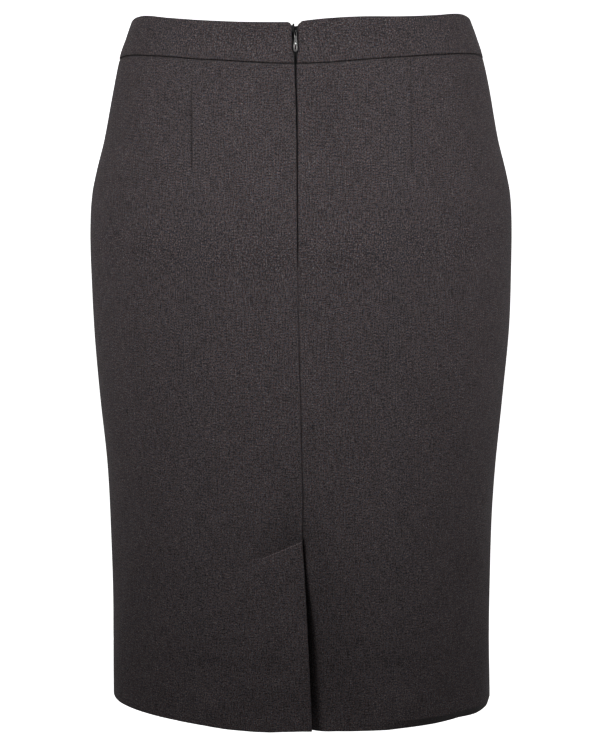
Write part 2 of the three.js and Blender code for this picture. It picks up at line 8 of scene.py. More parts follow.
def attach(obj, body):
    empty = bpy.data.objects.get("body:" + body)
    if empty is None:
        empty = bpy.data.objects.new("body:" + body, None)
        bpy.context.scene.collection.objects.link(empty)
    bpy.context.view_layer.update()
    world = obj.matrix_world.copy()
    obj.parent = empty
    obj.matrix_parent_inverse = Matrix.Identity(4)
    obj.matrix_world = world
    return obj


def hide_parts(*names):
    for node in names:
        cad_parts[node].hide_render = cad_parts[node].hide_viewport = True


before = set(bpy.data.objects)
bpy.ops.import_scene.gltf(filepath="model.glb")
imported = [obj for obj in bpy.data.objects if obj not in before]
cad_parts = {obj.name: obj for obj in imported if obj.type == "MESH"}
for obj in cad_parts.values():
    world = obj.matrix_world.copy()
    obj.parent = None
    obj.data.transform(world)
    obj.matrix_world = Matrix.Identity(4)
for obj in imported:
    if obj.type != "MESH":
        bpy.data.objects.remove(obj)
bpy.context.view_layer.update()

MM = 0.001

# Camera, from the curves of the top edge and the hem in the photograph
CAMERA = (-0.0012, -1.8, 0.0)
LOOK_AT = (-0.0012, 0.0, -0.3)
LENS = 97.64

# The figure, as in the solids: level sections, in millimetres
# columns: height, half width, depth to the back, depth to the front
SECTIONS = np.array([
    (20, 144.6, 92.0, 90.0),
    (0, 151.6, 95.2, 94.0),
    (-18, 158.1, 98.2, 97.6),
    (-45, 164.4, 104.6, 103.8),
    (-90, 173.0, 117.0, 112.6),
    (-116, 179.8, 124.0, 116.2),
    (-138, 184.4, 129.0, 118.4),
    (-168, 186.4, 132.8, 120.2),
    (-205, 186.2, 134.2, 121.2),
    (-260, 184.5, 133.2, 121.2),
    (-320, 180.1, 130.6, 120.2),
    (-380, 175.2, 127.4, 118.8),
    (-440, 172.3, 124.0, 117.4),
    (-500, 171.4, 121.0, 116.0),
    (-592, 172.8, 116.4, 114.0),
])

# columns: angle from the centre back, top edge left and right, waist seam left and right
WAIST = np.array([
    (0, 11.6, 12.4, -22.6, -22.7),
    (8, 11.5, 14.6, -22.5, -21.9),
    (20, 11.8, 16.2, -20.9, -19.4),
    (35, 13.2, 16.4, -19.1, -17.1),
    (50, 15.2, 17.4, -17.0, -15.5),
    (66, 17.2, 18.9, -16.5, -15.1),
    (78, 15.6, 17.2, -18.0, -16.6),
    (90, 11.6, 12.8, -21.6, -20.4),
    (112, 4.4, 5.0, -28.8, -28.2),
    (140, -3.2, -3.0, -36.6, -36.4),
    (180, -7.6, -7.6, -41.2, -41.2),
])

ZIP_END = -180.0
SEWN_FROM = -194.0
VENT_TOP = -422.6
SLANT_STARTS = -400.0
SEAM_DIPS_FROM = -418.0
HEM_TURN_TOP = -547.0
SAG_FROM = -520.0
HEM_ROLL_TOP = -583.6
HEM = -592.0
SEAM_HALF = 0.18
CLOSED_HALF = 0.13
WAIST_SEAM_HALF = 0.64

# columns: height, line of the centre back seam, half the gap that is left open
CENTRE_BACK = np.array([
    (20, -5.8, 2.6),
    (9, -5.7, 2.6),
    (-1, -5.3, 2.6),
    (-12, -4.9, 2.6),
    (-15, -4.9, 1.6),
    (-23, -5.0, 1.2),
    (-30, -4.9, 0.8),
    (-70, -3.8, 0.6),
    (-135, -3.4, 0.42),
    (ZIP_END, -3.1, 0.38),
    (ZIP_END - 12, -3.0, CLOSED_HALF),
    (-245, -2.3, 0.2),
    (-304, -0.6, 0.28),
    (-357, 0.5, 0.32),
    (-390, 1.4, 0.4),
    (VENT_TOP, 1.1, 0.4),
    (-454, 2.9, SEAM_HALF),
    (-532, 6.8, SEAM_HALF),
    (HEM, 9.4, SEAM_HALF),
])

# columns: angle from the centre back to the right, how far the hem hangs below its level,
# how far it rolls under, and how much painted shade darkens the rolled strip
HEM_SAG = np.array([
    (-180, 0, 0, 0),
    (-110, 0.6, 0, 0),
    (-72, 1.4, 0, 0),
    (-53, 0.5, 0, 0),
    (-41, 0.6, 0, 0),
    (-30, 1.2, 0, 0),
    (-22, 2.6, 0, 0),
    (-14, 2.9, 0, 0),
    (-9, 2.4, 0, 0),
    (-5, 1.3, 0, 0),
    (0, 0.5, 0, 0),
    (10, 0.7, 0, 0),
    (18, 2.2, 0, 0),
    (26, 4.4, 0.5, 0.1),
    (36, 6.2, 4.0, 0.5),
    (48, 7.7, 6.0, 0.68),
    (57, 8.3, 6.0, 0.76),
    (69, 11.3, 4.6, 0.78),
    (90, 13.6, 2.0, 0.7),
    (120, 4.5, 0, 0.15),
    (150, 0, 0, 0),
    (180, 0, 0, 0),
])

# Cloth, seams and folds
CLOTH = 1.2
TURNED_CLOTH = 2.4
WAISTBAND_CLOTH = 2.0
WAISTBAND_PROUD = 0.3
SEAM_ROUND = 0.7
WAIST_ROUND = 1.1
UNDERLAP_WIDTH = 36.0
UNDERLAP_SLOPE = 0.43
SLANT_FADES_IN = 100.0
LAYER_DROP = TURNED_CLOTH + 0.4
VENT_SPREAD = 8.4
VENT_SPREAD_LENGTH = 98.0
TRENCH_SIDE = 1.18
TRENCH_HOLLOW = 1.15
FLAP_LIFT = 3.0
FLAP_LIFT_REACH = 45.0
VENT_HEM_LOW = 1.1
VENT_CORNER_LOW = 1.3
STITCH_LEDGE = 0.9
PUCKER_DEPTH = 4.2
PUCKER_ABOVE = 14.0
PUCKER_BELOW = 2.0
PUCKER_BELOW_UNDERLAP = 12.0
PUCKER_END = 16.0
DART_GROOVE = 1.3
# Painted shade: the colour along each dart's line is darkened by this share
DART_SHADE = 0.3
DART_HALF = 0.55
EDGE_ROLL = 0.6
EDGE_ROLL_REACH = 2.5
CORNER_RADIUS = 3.6
RIGHT_CORNER_WIDER = 1.35
ZIP_END_FADE = 8.0
UNDERLAP_FADE = 15.0
VENT_CORNER_FADE = 6.0
WAIST_CURVE_FADE = 150.0
HEM_TURN_FADE = 1.5
ROLL_CREASE = 0.3

# Darts: distance from the middle at the top and at the tip, and the heights of both
BACK_DART = (91.6, 91.9, -20.0, -112.0)
FRONT_DART = (74.0, 79.0, -38.0, -128.0)
# Where a dart's line fades out: its lowest point and the height over which it comes in
BACK_DART_ENDS, BACK_DART_FADE = -116.0, 8.0
FRONT_DART_ENDS, FRONT_DART_FADE = -128.0, 22.0
# The back darts are fainter near the waist: the share there, and where the line grows full
DART_TOP_SHARE, DART_TOP_LOW, DART_TOP_FADE = 0.35, -34.0, 26.0

# The hem of the right panel by the vent hangs lower: where this starts, ends and fades
VENT_LOW_FROM, VENT_LOW_TO, VENT_LOW_FADE = -30.0, 20.0, 60.0

# How near to the centre back the folds fade, by side, and the least share that is left
EDGE_CALM = {-1: 2.5, 1: 8.0}
LEAST_FOLD = 0.25

# A faint wave all over the cloth
# columns: how far it stands out, waves for each radian, lean with the height, where it starts
WAVES = (
    (0.22, 9, 0.021, 0),
    (0.18, 15, -0.034, 1.3),
    (0.15, 5, 0.052, 0.4),
)
BAND_WAVES = (
    (0.12, 21, 0, 0.7),
    (0.1, 34, 0.2, 0),
)
WAVE_CALM = 40.0
SIDE_CALM = 0.25

# The line of the hem's hand stitches: height, half width, depth, how uneven, stitches a radian
HEM_STITCHES = (-543, 2.2, 0.16, 0.1, 150)

# Soft folds of the back, mirrored as the photograph has them
# columns: distance from the middle, height, half width, half height, how far it stands out
BACK_FOLDS = (
    (150, -124, 16, 6, -1.2),
    (140, -105, 24, 10, 0.9),
    (93, -106, 5, 9, -0.9),
    (107, -205, 14, 60, -1.3),
    (72, -215, 16, 70, 0.8),
    (160, -268, 10, 5, -0.7),
    (128, -268, 13, 5, -0.6),
    (104, -330, 18, 50, -0.8),
    (47, -410, 14, 16, 1.1),
    (76, -536, 19, 5, -1.3),
    (80, -566, 15, 14, 1.3),
    (130, -470, 22, 60, -0.6),
    (118, -60, 20, 22, 0.5),
)
# Folds of one side only: the same columns, with the distance signed
ONE_SIDE_FOLDS = (
    (-7, -196, 6, 6, -0.9),
    (-14, -442, 11, 9, 0.5),
    (-18, -497, 13, 6, 0.7),
    (-27, -551, 22, 5, 0.8),
    (-34, -520, 9, 26, -0.5),
    (30, -470, 12, 40, -0.5),
    (-40, 1.8, 19, 1.5, -0.7),
)
# Folds of the front: the distance is from the middle of the front
FRONT_FOLDS = (
    (132, -118, 18, 8, -1.1),
    (122, -100, 24, 10, 0.8),
    (80, -124, 5, 9, -0.8),
    (96, -230, 15, 70, -1.2),
    (58, -260, 18, 80, 0.8),
    (112, -400, 20, 60, -0.9),
    (64, -538, 20, 5, -1.0),
    (70, -566, 16, 14, 1.0),
    (18, -470, 14, 50, -0.5),
    (146, -280, 10, 5, -0.6),
)

# Painted shade and painted light: patches where the cloth's colour is darkened to stand in for shadows
# and lightened to stand in for lit spots, mirrored and on one side
# columns: as above, with a share of the tone instead of how far it stands out
PAINTED_SHADING_BOTH = (
    (82, -532, 20, 7, -0.18),
    (83, -566, 16, 8, 0.2),
    (75, -188, 40, 9, -0.08),
)
PAINTED_SHADING_ONE = (
    (-12, -417, 16, 16, -0.28),
    (12, -425, 12, 22, -0.15),
    (17, -462, 13, 36, -0.18),
    (34, -525, 24, 50, -0.2),
    (-28, -528, 18, 8, -0.18),
    (-36, -432, 7, 6, -0.12),
    (-38, 2, 18, 2.5, -0.1),
    (26, -60, 18, 30, -0.12),
    (0, -188, 45, 9, -0.08),
    (-6, -386, 14, 22, -0.1),
    (10, -338, 12, 20, -0.08),
    (14, -530, 12, 22, -0.12),
    (0, -562, 60, 10, -0.1),
)


def ease(share):
    s = np.clip(share, 0.0, 1.0)
    return s * s * (3 - 2 * s)


def along(table, at, column):
    """A smooth curve through a table: a column's value where its first column is at a value."""
    rows = table if table[0, 0] < table[-1, 0] else table[::-1]
    keys = rows[:, 0]
    values = rows[:, column]
    last = len(keys) - 1
    low = np.maximum(np.arange(last + 1) - 1, 0)
    high = np.minimum(np.arange(last + 1) + 1, last)
    slopes = (values[high] - values[low]) / (keys[high] - keys[low])
    at = np.asarray(at, dtype=float)
    i = np.clip(np.searchsorted(keys, at) - 1, 0, last - 1)
    step = keys[i + 1] - keys[i]
    s = (at - keys[i]) / step
    inside = np.clip(s, 0.0, 1.0)
    h = ease(inside)
    bend = slopes[i] * inside * (1 - inside) ** 2 - slopes[i + 1] * inside ** 2 * (1 - inside)
    curve = values[i] * (1 - h) + values[i + 1] * h + step * bend
    before = np.where(s < 0, slopes[0] * (at - keys[0]), 0)
    after = np.where(s > 1, slopes[-1] * (at - keys[-1]), 0)
    return curve + (before + after)


def skin(turn, z, out):
    """Points of the figure's surface, at angles from the centre back, moved outwards level."""
    side = along(SECTIONS, z, 1)
    depth = np.where(np.cos(turn) > 0, along(SECTIONS, z, 2), along(SECTIONS, z, 3))
    across = depth * np.sin(turn)
    back = -side * np.cos(turn)
    size = np.hypot(across, back)
    x = side * np.sin(turn) + out * across / size
    y = -depth * np.cos(turn) + out * back / size
    return np.stack([x, y, z + 0 * x], axis=-1)


def turn_at(x, z):
    return np.arcsin(x / along(SECTIONS, z, 1))


def waist_height(turn, left_column):
    angle = np.degrees(np.abs(turn))
    left = along(WAIST, angle, left_column)
    right = along(WAIST, angle, left_column + 1)
    return np.where(np.sin(turn) < 0, left, right)


def centre_back(z):
    return along(CENTRE_BACK, z, 1)


def zip_half(z):
    return np.maximum(CLOSED_HALF, along(CENTRE_BACK, z, 2))


def dart_x(dart, z):
    top, tip, top_z, tip_z = dart
    return top + (tip - top) * np.clip((top_z - z) / (top_z - tip_z), 0, 1)


def vent_opens(z):
    return ease((VENT_TOP - z) / (VENT_TOP - HEM))


def left_relief(s, z, pucker_below=PUCKER_BELOW):
    """How far the left back panel stands off the figure, at s past the centre back line."""
    lift = FLAP_LIFT * vent_opens(z) * np.exp(-((s / FLAP_LIFT_REACH) ** 2))
    above = z - (VENT_TOP - UNDERLAP_SLOPE * np.abs(s) - STITCH_LEDGE / 4)
    stitched = 1 - ease((np.abs(s) - UNDERLAP_WIDTH) / PUCKER_END)
    high = np.exp(-np.maximum(above, 0) / PUCKER_ABOVE)
    low = np.exp(np.minimum(above, 0) / pucker_below)
    return lift - stitched * PUCKER_DEPTH * high * low


def trench_depth(z):
    """How far the right panel lies below the flap at the flap's edge."""
    seam_dips = ease((SEAM_DIPS_FROM - z) / (SEAM_DIPS_FROM - VENT_TOP))
    return LAYER_DROP * seam_dips + VENT_SPREAD * ease((VENT_TOP - z) / VENT_SPREAD_LENGTH)


def trench_share(s, deep):
    """The trench's side: full under the flap, and nothing where the panel is level again."""
    width = np.maximum(TRENCH_SIDE * deep, 0.01)
    return np.clip(1 - np.maximum(s, 0) / width, 0, 1) ** TRENCH_HOLLOW


def right_relief(s, z):
    """The right back panel sinks towards the vent and runs on under the left one."""
    under = left_relief(np.minimum(s, 0), z, PUCKER_BELOW_UNDERLAP)
    deep = trench_depth(z)
    return under * (1 - ease(s / UNDERLAP_FADE)) - deep * trench_share(s, deep)


def hem_sag(turn, column):
    return np.interp(np.degrees(turn), HEM_SAG[:, 0], HEM_SAG[:, column])


def hem_roll(turn, level):
    low = np.clip((HEM_ROLL_TOP - level) / (HEM_ROLL_TOP - HEM), 0, 1)
    return -hem_sag(turn, 2) * low


def rolled_shade(turn, level):
    """Painted shade on the strip that rolls under at the hem: darker, with a crisp edge above it."""
    return -hem_sag(turn, 3) * ease((HEM_ROLL_TOP + ROLL_CREASE - level) / (2 * ROLL_CREASE))


def turned(level):
    """Cloth lies double below the top of the hem's turning."""
    return CLOTH + (TURNED_CLOTH - CLOTH) * ease((HEM_TURN_TOP - level) / HEM_TURN_FADE)


def rounded(distance, radius):
    """How far a face sinks in at a rounded edge."""
    near = np.clip(radius - distance, 0, radius)
    return radius - np.sqrt(np.maximum(radius * radius - near * near, 0))


def bumps(x, z, table):
    """The sum of a table's soft bumps, at places across and up."""
    total = 0 * x
    for place, height, wide, tall, depth in table:
        total = total + depth * np.exp(-(((x - place) / wide) ** 2 + ((z - height) / tall) ** 2))
    return total


def waves(turn, z, table):
    """The sum of a table's waves round the figure."""
    return sum(high * np.sin(turn * count + z * lean + start) for high, count, lean, start in table)


def drape(turn, z):
    """Soft folds, a faint wave all over and the line of the hem's hand stitches."""
    x = along(SECTIONS, z, 1) * np.sin(turn)
    is_back = np.cos(turn) > 0
    back = bumps(np.abs(x), z, BACK_FOLDS) + bumps(x, z, ONE_SIDE_FOLDS)
    front = bumps(np.abs(x), z, FRONT_FOLDS)
    by_side = ease(np.abs(np.cos(turn)) / SIDE_CALM)
    calm = ease((waist_height(turn, 3) - z) / WAVE_CALM)
    place, half, deep, uneven, count = HEM_STITCHES
    stitch_line = np.exp(-(((z - place) / half) ** 2)) * (deep + uneven * np.sin(turn * count))
    return (np.where(is_back, back, front) * by_side + waves(turn, z, WAVES) * calm) - stitch_line


def millimetre_steps(length, fine, coarse):
    """Distances from 0 to a length: fine ones at both ends and about even ones between."""
    fine = np.array(fine)
    start = fine[-1]
    count = max(1, round((length - 2 * start) / coarse))
    middle = np.linspace(start, length - start, count + 1)
    return np.concatenate([fine[:-1], middle, length - fine[:-1][::-1]])


# The lattices' spacing: near an edge, near a dart, between rows and between columns
EDGE_STEPS = [0, 0.08, 0.25, 0.55, 1.0, 1.7, 2.8]
DART_STEPS = [0, 0.5, 1.2, 2.2, 3.6]
VENT_STEPS = (2.5, 1.2, 0.3, -0.1, -0.5, -0.9, -1.6, -3.0)
CREASE_STEPS = (1.6, 0.5, 0.0, -0.5)
HEM_TURN_ABOVE, HEM_TURN_BELOW, HEM_TURN_ROWS = 9, 3, 10
ROW = 3.4
COLUMN = 4.2
FINE_COLUMN = 2.4
# Lengths that the columns are spaced by: centre back to dart, dart to side, side to front dart,
# and from one front dart to the other
BACK_TO_DART = 92
DART_TO_SIDE = 160
SIDE_TO_FRONT_DART = 165
BETWEEN_FRONT_DARTS = 160


def placed(name, mesh):
    """An object of a mesh with smooth faces, in the scene."""
    mesh.polygons.foreach_set("use_smooth", [True] * len(mesh.polygons))
    piece = bpy.data.objects.new(name, mesh)
    bpy.context.scene.collection.objects.link(piece)
    return piece


def lattice_object(name, outer, inner, keep=None, shade=None):
    """A closed wall between two faces of a lattice, with the cloth's own lengths as its UVs."""
    rows, columns = outer.shape[0] - 1, outer.shape[1] - 1
    if keep is None:
        keep = np.ones((rows, columns), dtype=bool)
    number = np.arange(outer.shape[0] * outer.shape[1]).reshape(outer.shape[:2])
    count = number.size
    across = np.linalg.norm(np.diff(outer, axis=1), axis=2)
    down = np.linalg.norm(np.diff(outer, axis=0), axis=2)
    u = np.concatenate([np.zeros((rows + 1, 1)), np.cumsum(across, axis=1)], axis=1)
    middle = u.shape[1] // 2
    u = u - u[:, middle:middle + 1]
    v = -np.concatenate([np.zeros((1, columns + 1)), np.cumsum(down, axis=0)], axis=0)
    v = v - v[rows // 2][None, :] * 0.5
    a, b = number[:-1, :-1], number[1:, :-1]
    c, d = number[1:, 1:], number[:-1, 1:]
    faces = [np.stack([a, b, c, d], axis=-1)[keep], np.stack([a, d, c, b], axis=-1)[keep] + count]
    padded = np.zeros((rows + 2, columns + 2), dtype=bool)
    padded[1:-1, 1:-1] = keep
    rims = (
        (keep & ~padded[:-2, 1:-1], a, d),
        (keep & ~padded[2:, 1:-1], c, b),
        (keep & ~padded[1:-1, :-2], b, a),
        (keep & ~padded[1:-1, 2:], d, c),
    )
    for open_edge, p, q in rims:
        faces.append(np.stack([p, q, q + count, p + count], axis=-1)[open_edge])
    faces = np.concatenate([part.reshape(-1, 4) for part in faces])
    points = np.concatenate([outer.reshape(-1, 3), inner.reshape(-1, 3)]) * MM
    used = np.zeros(len(points), dtype=bool)
    used[faces.ravel()] = True
    renumber = np.cumsum(used) - 1
    mesh = bpy.data.meshes.new(name)
    mesh.from_pydata(points[used].tolist(), [], renumber[faces].tolist())
    layer = mesh.uv_layers.new(name="cloth")
    flat = np.stack([np.tile(u.ravel(), 2), np.tile(v.ravel(), 2)], axis=-1) * MM
    layer.data.foreach_set("uv", flat[faces.ravel()].ravel())
    x, y, z = points.T / MM
    # Painted shade and painted light in the colour: the tables' soft patches, plus any shade given for
    # the piece
    painted_shading = bumps(np.abs(x), z, PAINTED_SHADING_BOTH) + np.where(y < 0, bumps(x, z, PAINTED_SHADING_ONE), 0)
    if shade is not None:
        painted_shading = painted_shading + np.tile(shade.ravel(), 2)
    mesh.attributes.new("painted_shading", "FLOAT", "POINT").data.foreach_set("value", painted_shading[used])
    mesh.update()
    return placed(name, mesh)


def level_rows(top, finer=()):
    """Heights of the rows, finer at the seam, at the marked heights and at the hem."""
    rows = [top - step for step in EDGE_STEPS]
    crease = [HEM_ROLL_TOP + step for step in CREASE_STEPS]
    turn_low = HEM_TURN_TOP - HEM_TURN_BELOW
    stops = sorted({HEM_TURN_TOP + HEM_TURN_ABOVE, turn_low, *crease, *finer}, reverse=True)
    for low in stops + [HEM + EDGE_STEPS[-1]]:
        count = max(1, round((rows[-1] - low) / ROW))
        if low == turn_low:
            count = HEM_TURN_ROWS
        rows.extend(np.linspace(rows[-1], low, count + 1)[1:])
    rows.extend(HEM + step for step in EDGE_STEPS[-2::-1])
    return np.array(rows)


def row_heights(level, top, turn):
    fade = np.clip(1 - (top - level) / WAIST_CURVE_FADE, 0, None)
    lowered = hem_sag(turn, 1) * ease((SAG_FROM - level) / (SAG_FROM - HEM_ROLL_TOP))
    return level + (waist_height(turn, 3) - WAIST_SEAM_HALF - top) * fade - lowered


def dart_line(x, z, dart):
    """1 along a dart's line and 0 beside it."""
    return np.exp(-((x - dart_x(dart, z)) / DART_HALF) ** 2)


def back_columns(sign, level):
    """The columns' angles from the centre back to the side, the side's, and the underlap's count."""
    to_dart = millimetre_steps(BACK_TO_DART, EDGE_STEPS, FINE_COLUMN)
    to_dart = np.concatenate([to_dart[:-len(DART_STEPS)], BACK_TO_DART - np.array(DART_STEPS[::-1])])
    to_dart = np.unique(np.round(to_dart, 4)) / BACK_TO_DART
    to_side = millimetre_steps(DART_TO_SIDE, EDGE_STEPS, COLUMN)
    to_side = np.concatenate([DART_STEPS, to_side[len(EDGE_STEPS):]])
    to_side = np.unique(np.round(to_side, 4)) / DART_TO_SIDE
    edge = turn_at(centre_back(level) + sign * zip_half(level), level)
    dart = turn_at(sign * dart_x(BACK_DART, level), level)
    side = sign * (math.pi / 2 - SEAM_HALF / along(SECTIONS, level, 2))
    turn = np.concatenate([edge + (dart - edge) * to_dart, dart + (side - dart) * to_side[1:]], axis=1)
    if sign < 0:
        return turn, side, 0
    flap_edge = turn_at(centre_back(level) - SEAM_HALF, level)
    flap_dart = turn_at(-dart_x(BACK_DART, level), level)
    under = flap_edge + (flap_dart - flap_edge) * to_dart
    under = under[:, to_dart <= UNDERLAP_WIDTH / BACK_TO_DART + 0.01][:, :0:-1]
    return np.concatenate([under, turn], axis=1), side, under.shape[1]


def past_centre_back(turn, z):
    return along(SECTIONS, z, 1) * np.sin(turn) - centre_back(z)


def back_heights(sign, level, top, turn):
    """The points' heights: the rows slant at the vent's top, and the right hem hangs by the vent."""
    s = past_centre_back(turn, level)
    above = ease((SLANT_STARTS - level) / (SLANT_STARTS - VENT_TOP))
    below = 1 - np.clip((VENT_TOP - level) / SLANT_FADES_IN, 0, 1)
    reached = 1 - ease((-s - UNDERLAP_WIDTH) / UNDERLAP_WIDTH)
    z = row_heights(level, top, turn)
    z = z + UNDERLAP_SLOPE * np.clip(s, -UNDERLAP_WIDTH, 0) * reached * above * below
    if sign > 0:
        s = past_centre_back(turn, z)
        low = np.clip((HEM_TURN_TOP - level) / (HEM_TURN_TOP - HEM), 0, 1)
        corner = VENT_CORNER_LOW * trench_share(s, trench_depth(z))
        corner = corner * ease((s + VENT_CORNER_FADE) / VENT_CORNER_FADE)
        hang = VENT_HEM_LOW * ease((s - VENT_LOW_FROM) / -VENT_LOW_FROM)
        hang = hang * (1 - ease((s - VENT_LOW_TO) / VENT_LOW_FADE))
        z = z - low * (hang + corner)
    return z


def back_panel(sign, name):
    """A back panel from the centre back to its side seam; the right one has the underlap too."""
    top = float(waist_height(np.array(0.0), 3)) - WAIST_SEAM_HALF
    vent_rows = [SLANT_STARTS, SEAM_DIPS_FROM] + [VENT_TOP + step for step in VENT_STEPS]
    levels = level_rows(top, vent_rows)
    level = levels[:, None]
    turn, side, seam_column = back_columns(sign, level)
    z = back_heights(sign, level, top, turn)
    s = past_centre_back(turn, z)
    x = s + centre_back(z)
    lower = level + 0 * s <= VENT_TOP
    thickness = turned(level) + 0 * s
    if sign < 0:
        relief = left_relief(np.minimum(s, 0), z)
        thickness = np.where(lower & (s > -UNDERLAP_WIDTH - 1), TURNED_CLOTH, thickness)
    else:
        relief = right_relief(s, z)
    from_edge = np.abs(s) - zip_half(z)
    in_zip = ease((z - ZIP_END + ZIP_END_FADE) / ZIP_END_FADE)
    roll = -EDGE_ROLL * in_zip * np.clip(1 - from_edge / EDGE_ROLL_REACH, 0, 1) ** 2
    if sign > 0:
        roll = roll * (s > 0)
    sewn_dart = dart_line(sign * x, z, BACK_DART) * ease((z - BACK_DART_ENDS) / BACK_DART_FADE)
    full = ease((DART_TOP_LOW - z) / DART_TOP_FADE)
    sewn_dart = sewn_dart * (DART_TOP_SHARE + (1 - DART_TOP_SHARE) * full)
    calm = 1 - ease((EDGE_CALM[sign] - from_edge) / EDGE_CALM[sign])
    folds = drape(turn, z) * np.clip(calm, LEAST_FOLD, 1)
    out = relief + roll - DART_GROOVE * sewn_dart + hem_roll(turn, level) + folds
    arc_side = np.abs(side - turn) * along(SECTIONS, z, 2)
    hem_sink = rounded(level - HEM + 0 * s, TURNED_CLOTH / 2)
    outer_sink = rounded(arc_side, SEAM_ROUND) + rounded(top - level + 0 * s, WAIST_ROUND) + hem_sink
    free_edge = from_edge
    if sign > 0:
        free_edge = np.where(lower, s - s[:, :1], np.abs(from_edge))
    edge_sink = rounded(np.clip(free_edge, 0, None), np.where(lower, thickness / 2, SEAM_ROUND))
    inner_sink = hem_sink + np.where(lower, edge_sink, 0)
    outer = skin(turn, z, out - (outer_sink + edge_sink))
    closed = turn.copy()
    closed[:, -1] = sign * math.pi / 2
    sewn = ease((SEWN_FROM - levels) / ZIP_END_FADE) * (levels > VENT_TOP)
    closed[:, seam_column] += sewn * (turn_at(centre_back(levels), levels) - closed[:, seam_column])
    inner_z = z.copy()
    inner_z[0] += WAIST_SEAM_HALF
    inner = skin(closed, inner_z, out - thickness + np.minimum(inner_sink, thickness / 2))
    keep = None
    # Painted shade in the colour: the rolled strip at the hem and the darts' lines
    shade = rolled_shade(turn, level) - DART_SHADE * sewn_dart
    if sign > 0:
        keep = np.ones((len(levels) - 1, turn.shape[1] - 1), dtype=bool)
        keep[levels[:-1] > VENT_TOP, :seam_column] = False
    else:
        outer, inner, shade = outer[:, ::-1], inner[:, ::-1], shade[:, ::-1]
    return lattice_object(name, outer, inner, keep, shade)


def front_panel():
    """The front in one piece with its two darts, from side seam to side seam."""
    top = float(waist_height(np.array(math.pi / 2), 3)) - WAIST_SEAM_HALF
    levels = level_rows(top)
    level = levels[:, None]
    side = math.pi / 2 + SEAM_HALF / along(SECTIONS, level, 2)
    dart = math.pi - turn_at(dart_x(FRONT_DART, level), level)
    to_dart = millimetre_steps(SIDE_TO_FRONT_DART, EDGE_STEPS, COLUMN)
    to_dart = np.concatenate([to_dart[:-len(EDGE_STEPS)], SIDE_TO_FRONT_DART - np.array(DART_STEPS)])
    to_dart = np.unique(np.round(to_dart, 4)) / SIDE_TO_FRONT_DART
    between = millimetre_steps(BETWEEN_FRONT_DARTS, DART_STEPS, COLUMN) / BETWEEN_FRONT_DARTS
    turn = np.concatenate([
        side + (dart - side) * to_dart,
        dart + (2 * math.pi - 2 * dart) * between[1:],
        2 * math.pi - dart + (dart - side) * (1 - to_dart[::-1])[1:],
    ], axis=1)
    around = np.where(turn > math.pi, turn - 2 * math.pi, turn)
    z = row_heights(level, top, around)
    x = along(SECTIONS, z, 1) * np.sin(turn)
    sewn_dart = dart_line(np.abs(x), z, FRONT_DART) * ease((z - FRONT_DART_ENDS) / FRONT_DART_FADE)
    out = hem_roll(around, level) - DART_GROOVE * sewn_dart + drape(around, z)
    thickness = turned(level) + 0 * turn
    arc_side = np.minimum(turn - side, 2 * math.pi - side - turn) * along(SECTIONS, z, 3)
    hem_sink = rounded(level - HEM + 0 * turn, TURNED_CLOTH / 2)
    outer_sink = rounded(arc_side, SEAM_ROUND) + rounded(top - level + 0 * turn, WAIST_ROUND) + hem_sink
    outer = skin(turn, z, out - outer_sink)
    closed = turn.copy()
    closed[:, 0] = math.pi / 2
    closed[:, -1] = 3 * math.pi / 2
    inner_z = z.copy()
    inner_z[0] += WAIST_SEAM_HALF
    inner = skin(closed, inner_z, out - thickness + hem_sink)
    # Painted shade in the colour: the rolled strip at the hem and the darts' lines
    shade = rolled_shade(around, level) - DART_SHADE * sewn_dart
    return lattice_object("front_cloth", outer, inner, shade=shade)


# The waistband: its height, the spacing of its rows and columns, how far it puffs out,
# and the length round the waist for each radian, on the whole and where a stretch starts
BAND_HEIGHT, BAND_ROW, BAND_COLUMN = 34, 1.6, 3.6
BAND_PUFF = 0.35
ROUND_WAIST, ROUND_WAIST_START = 128, 105


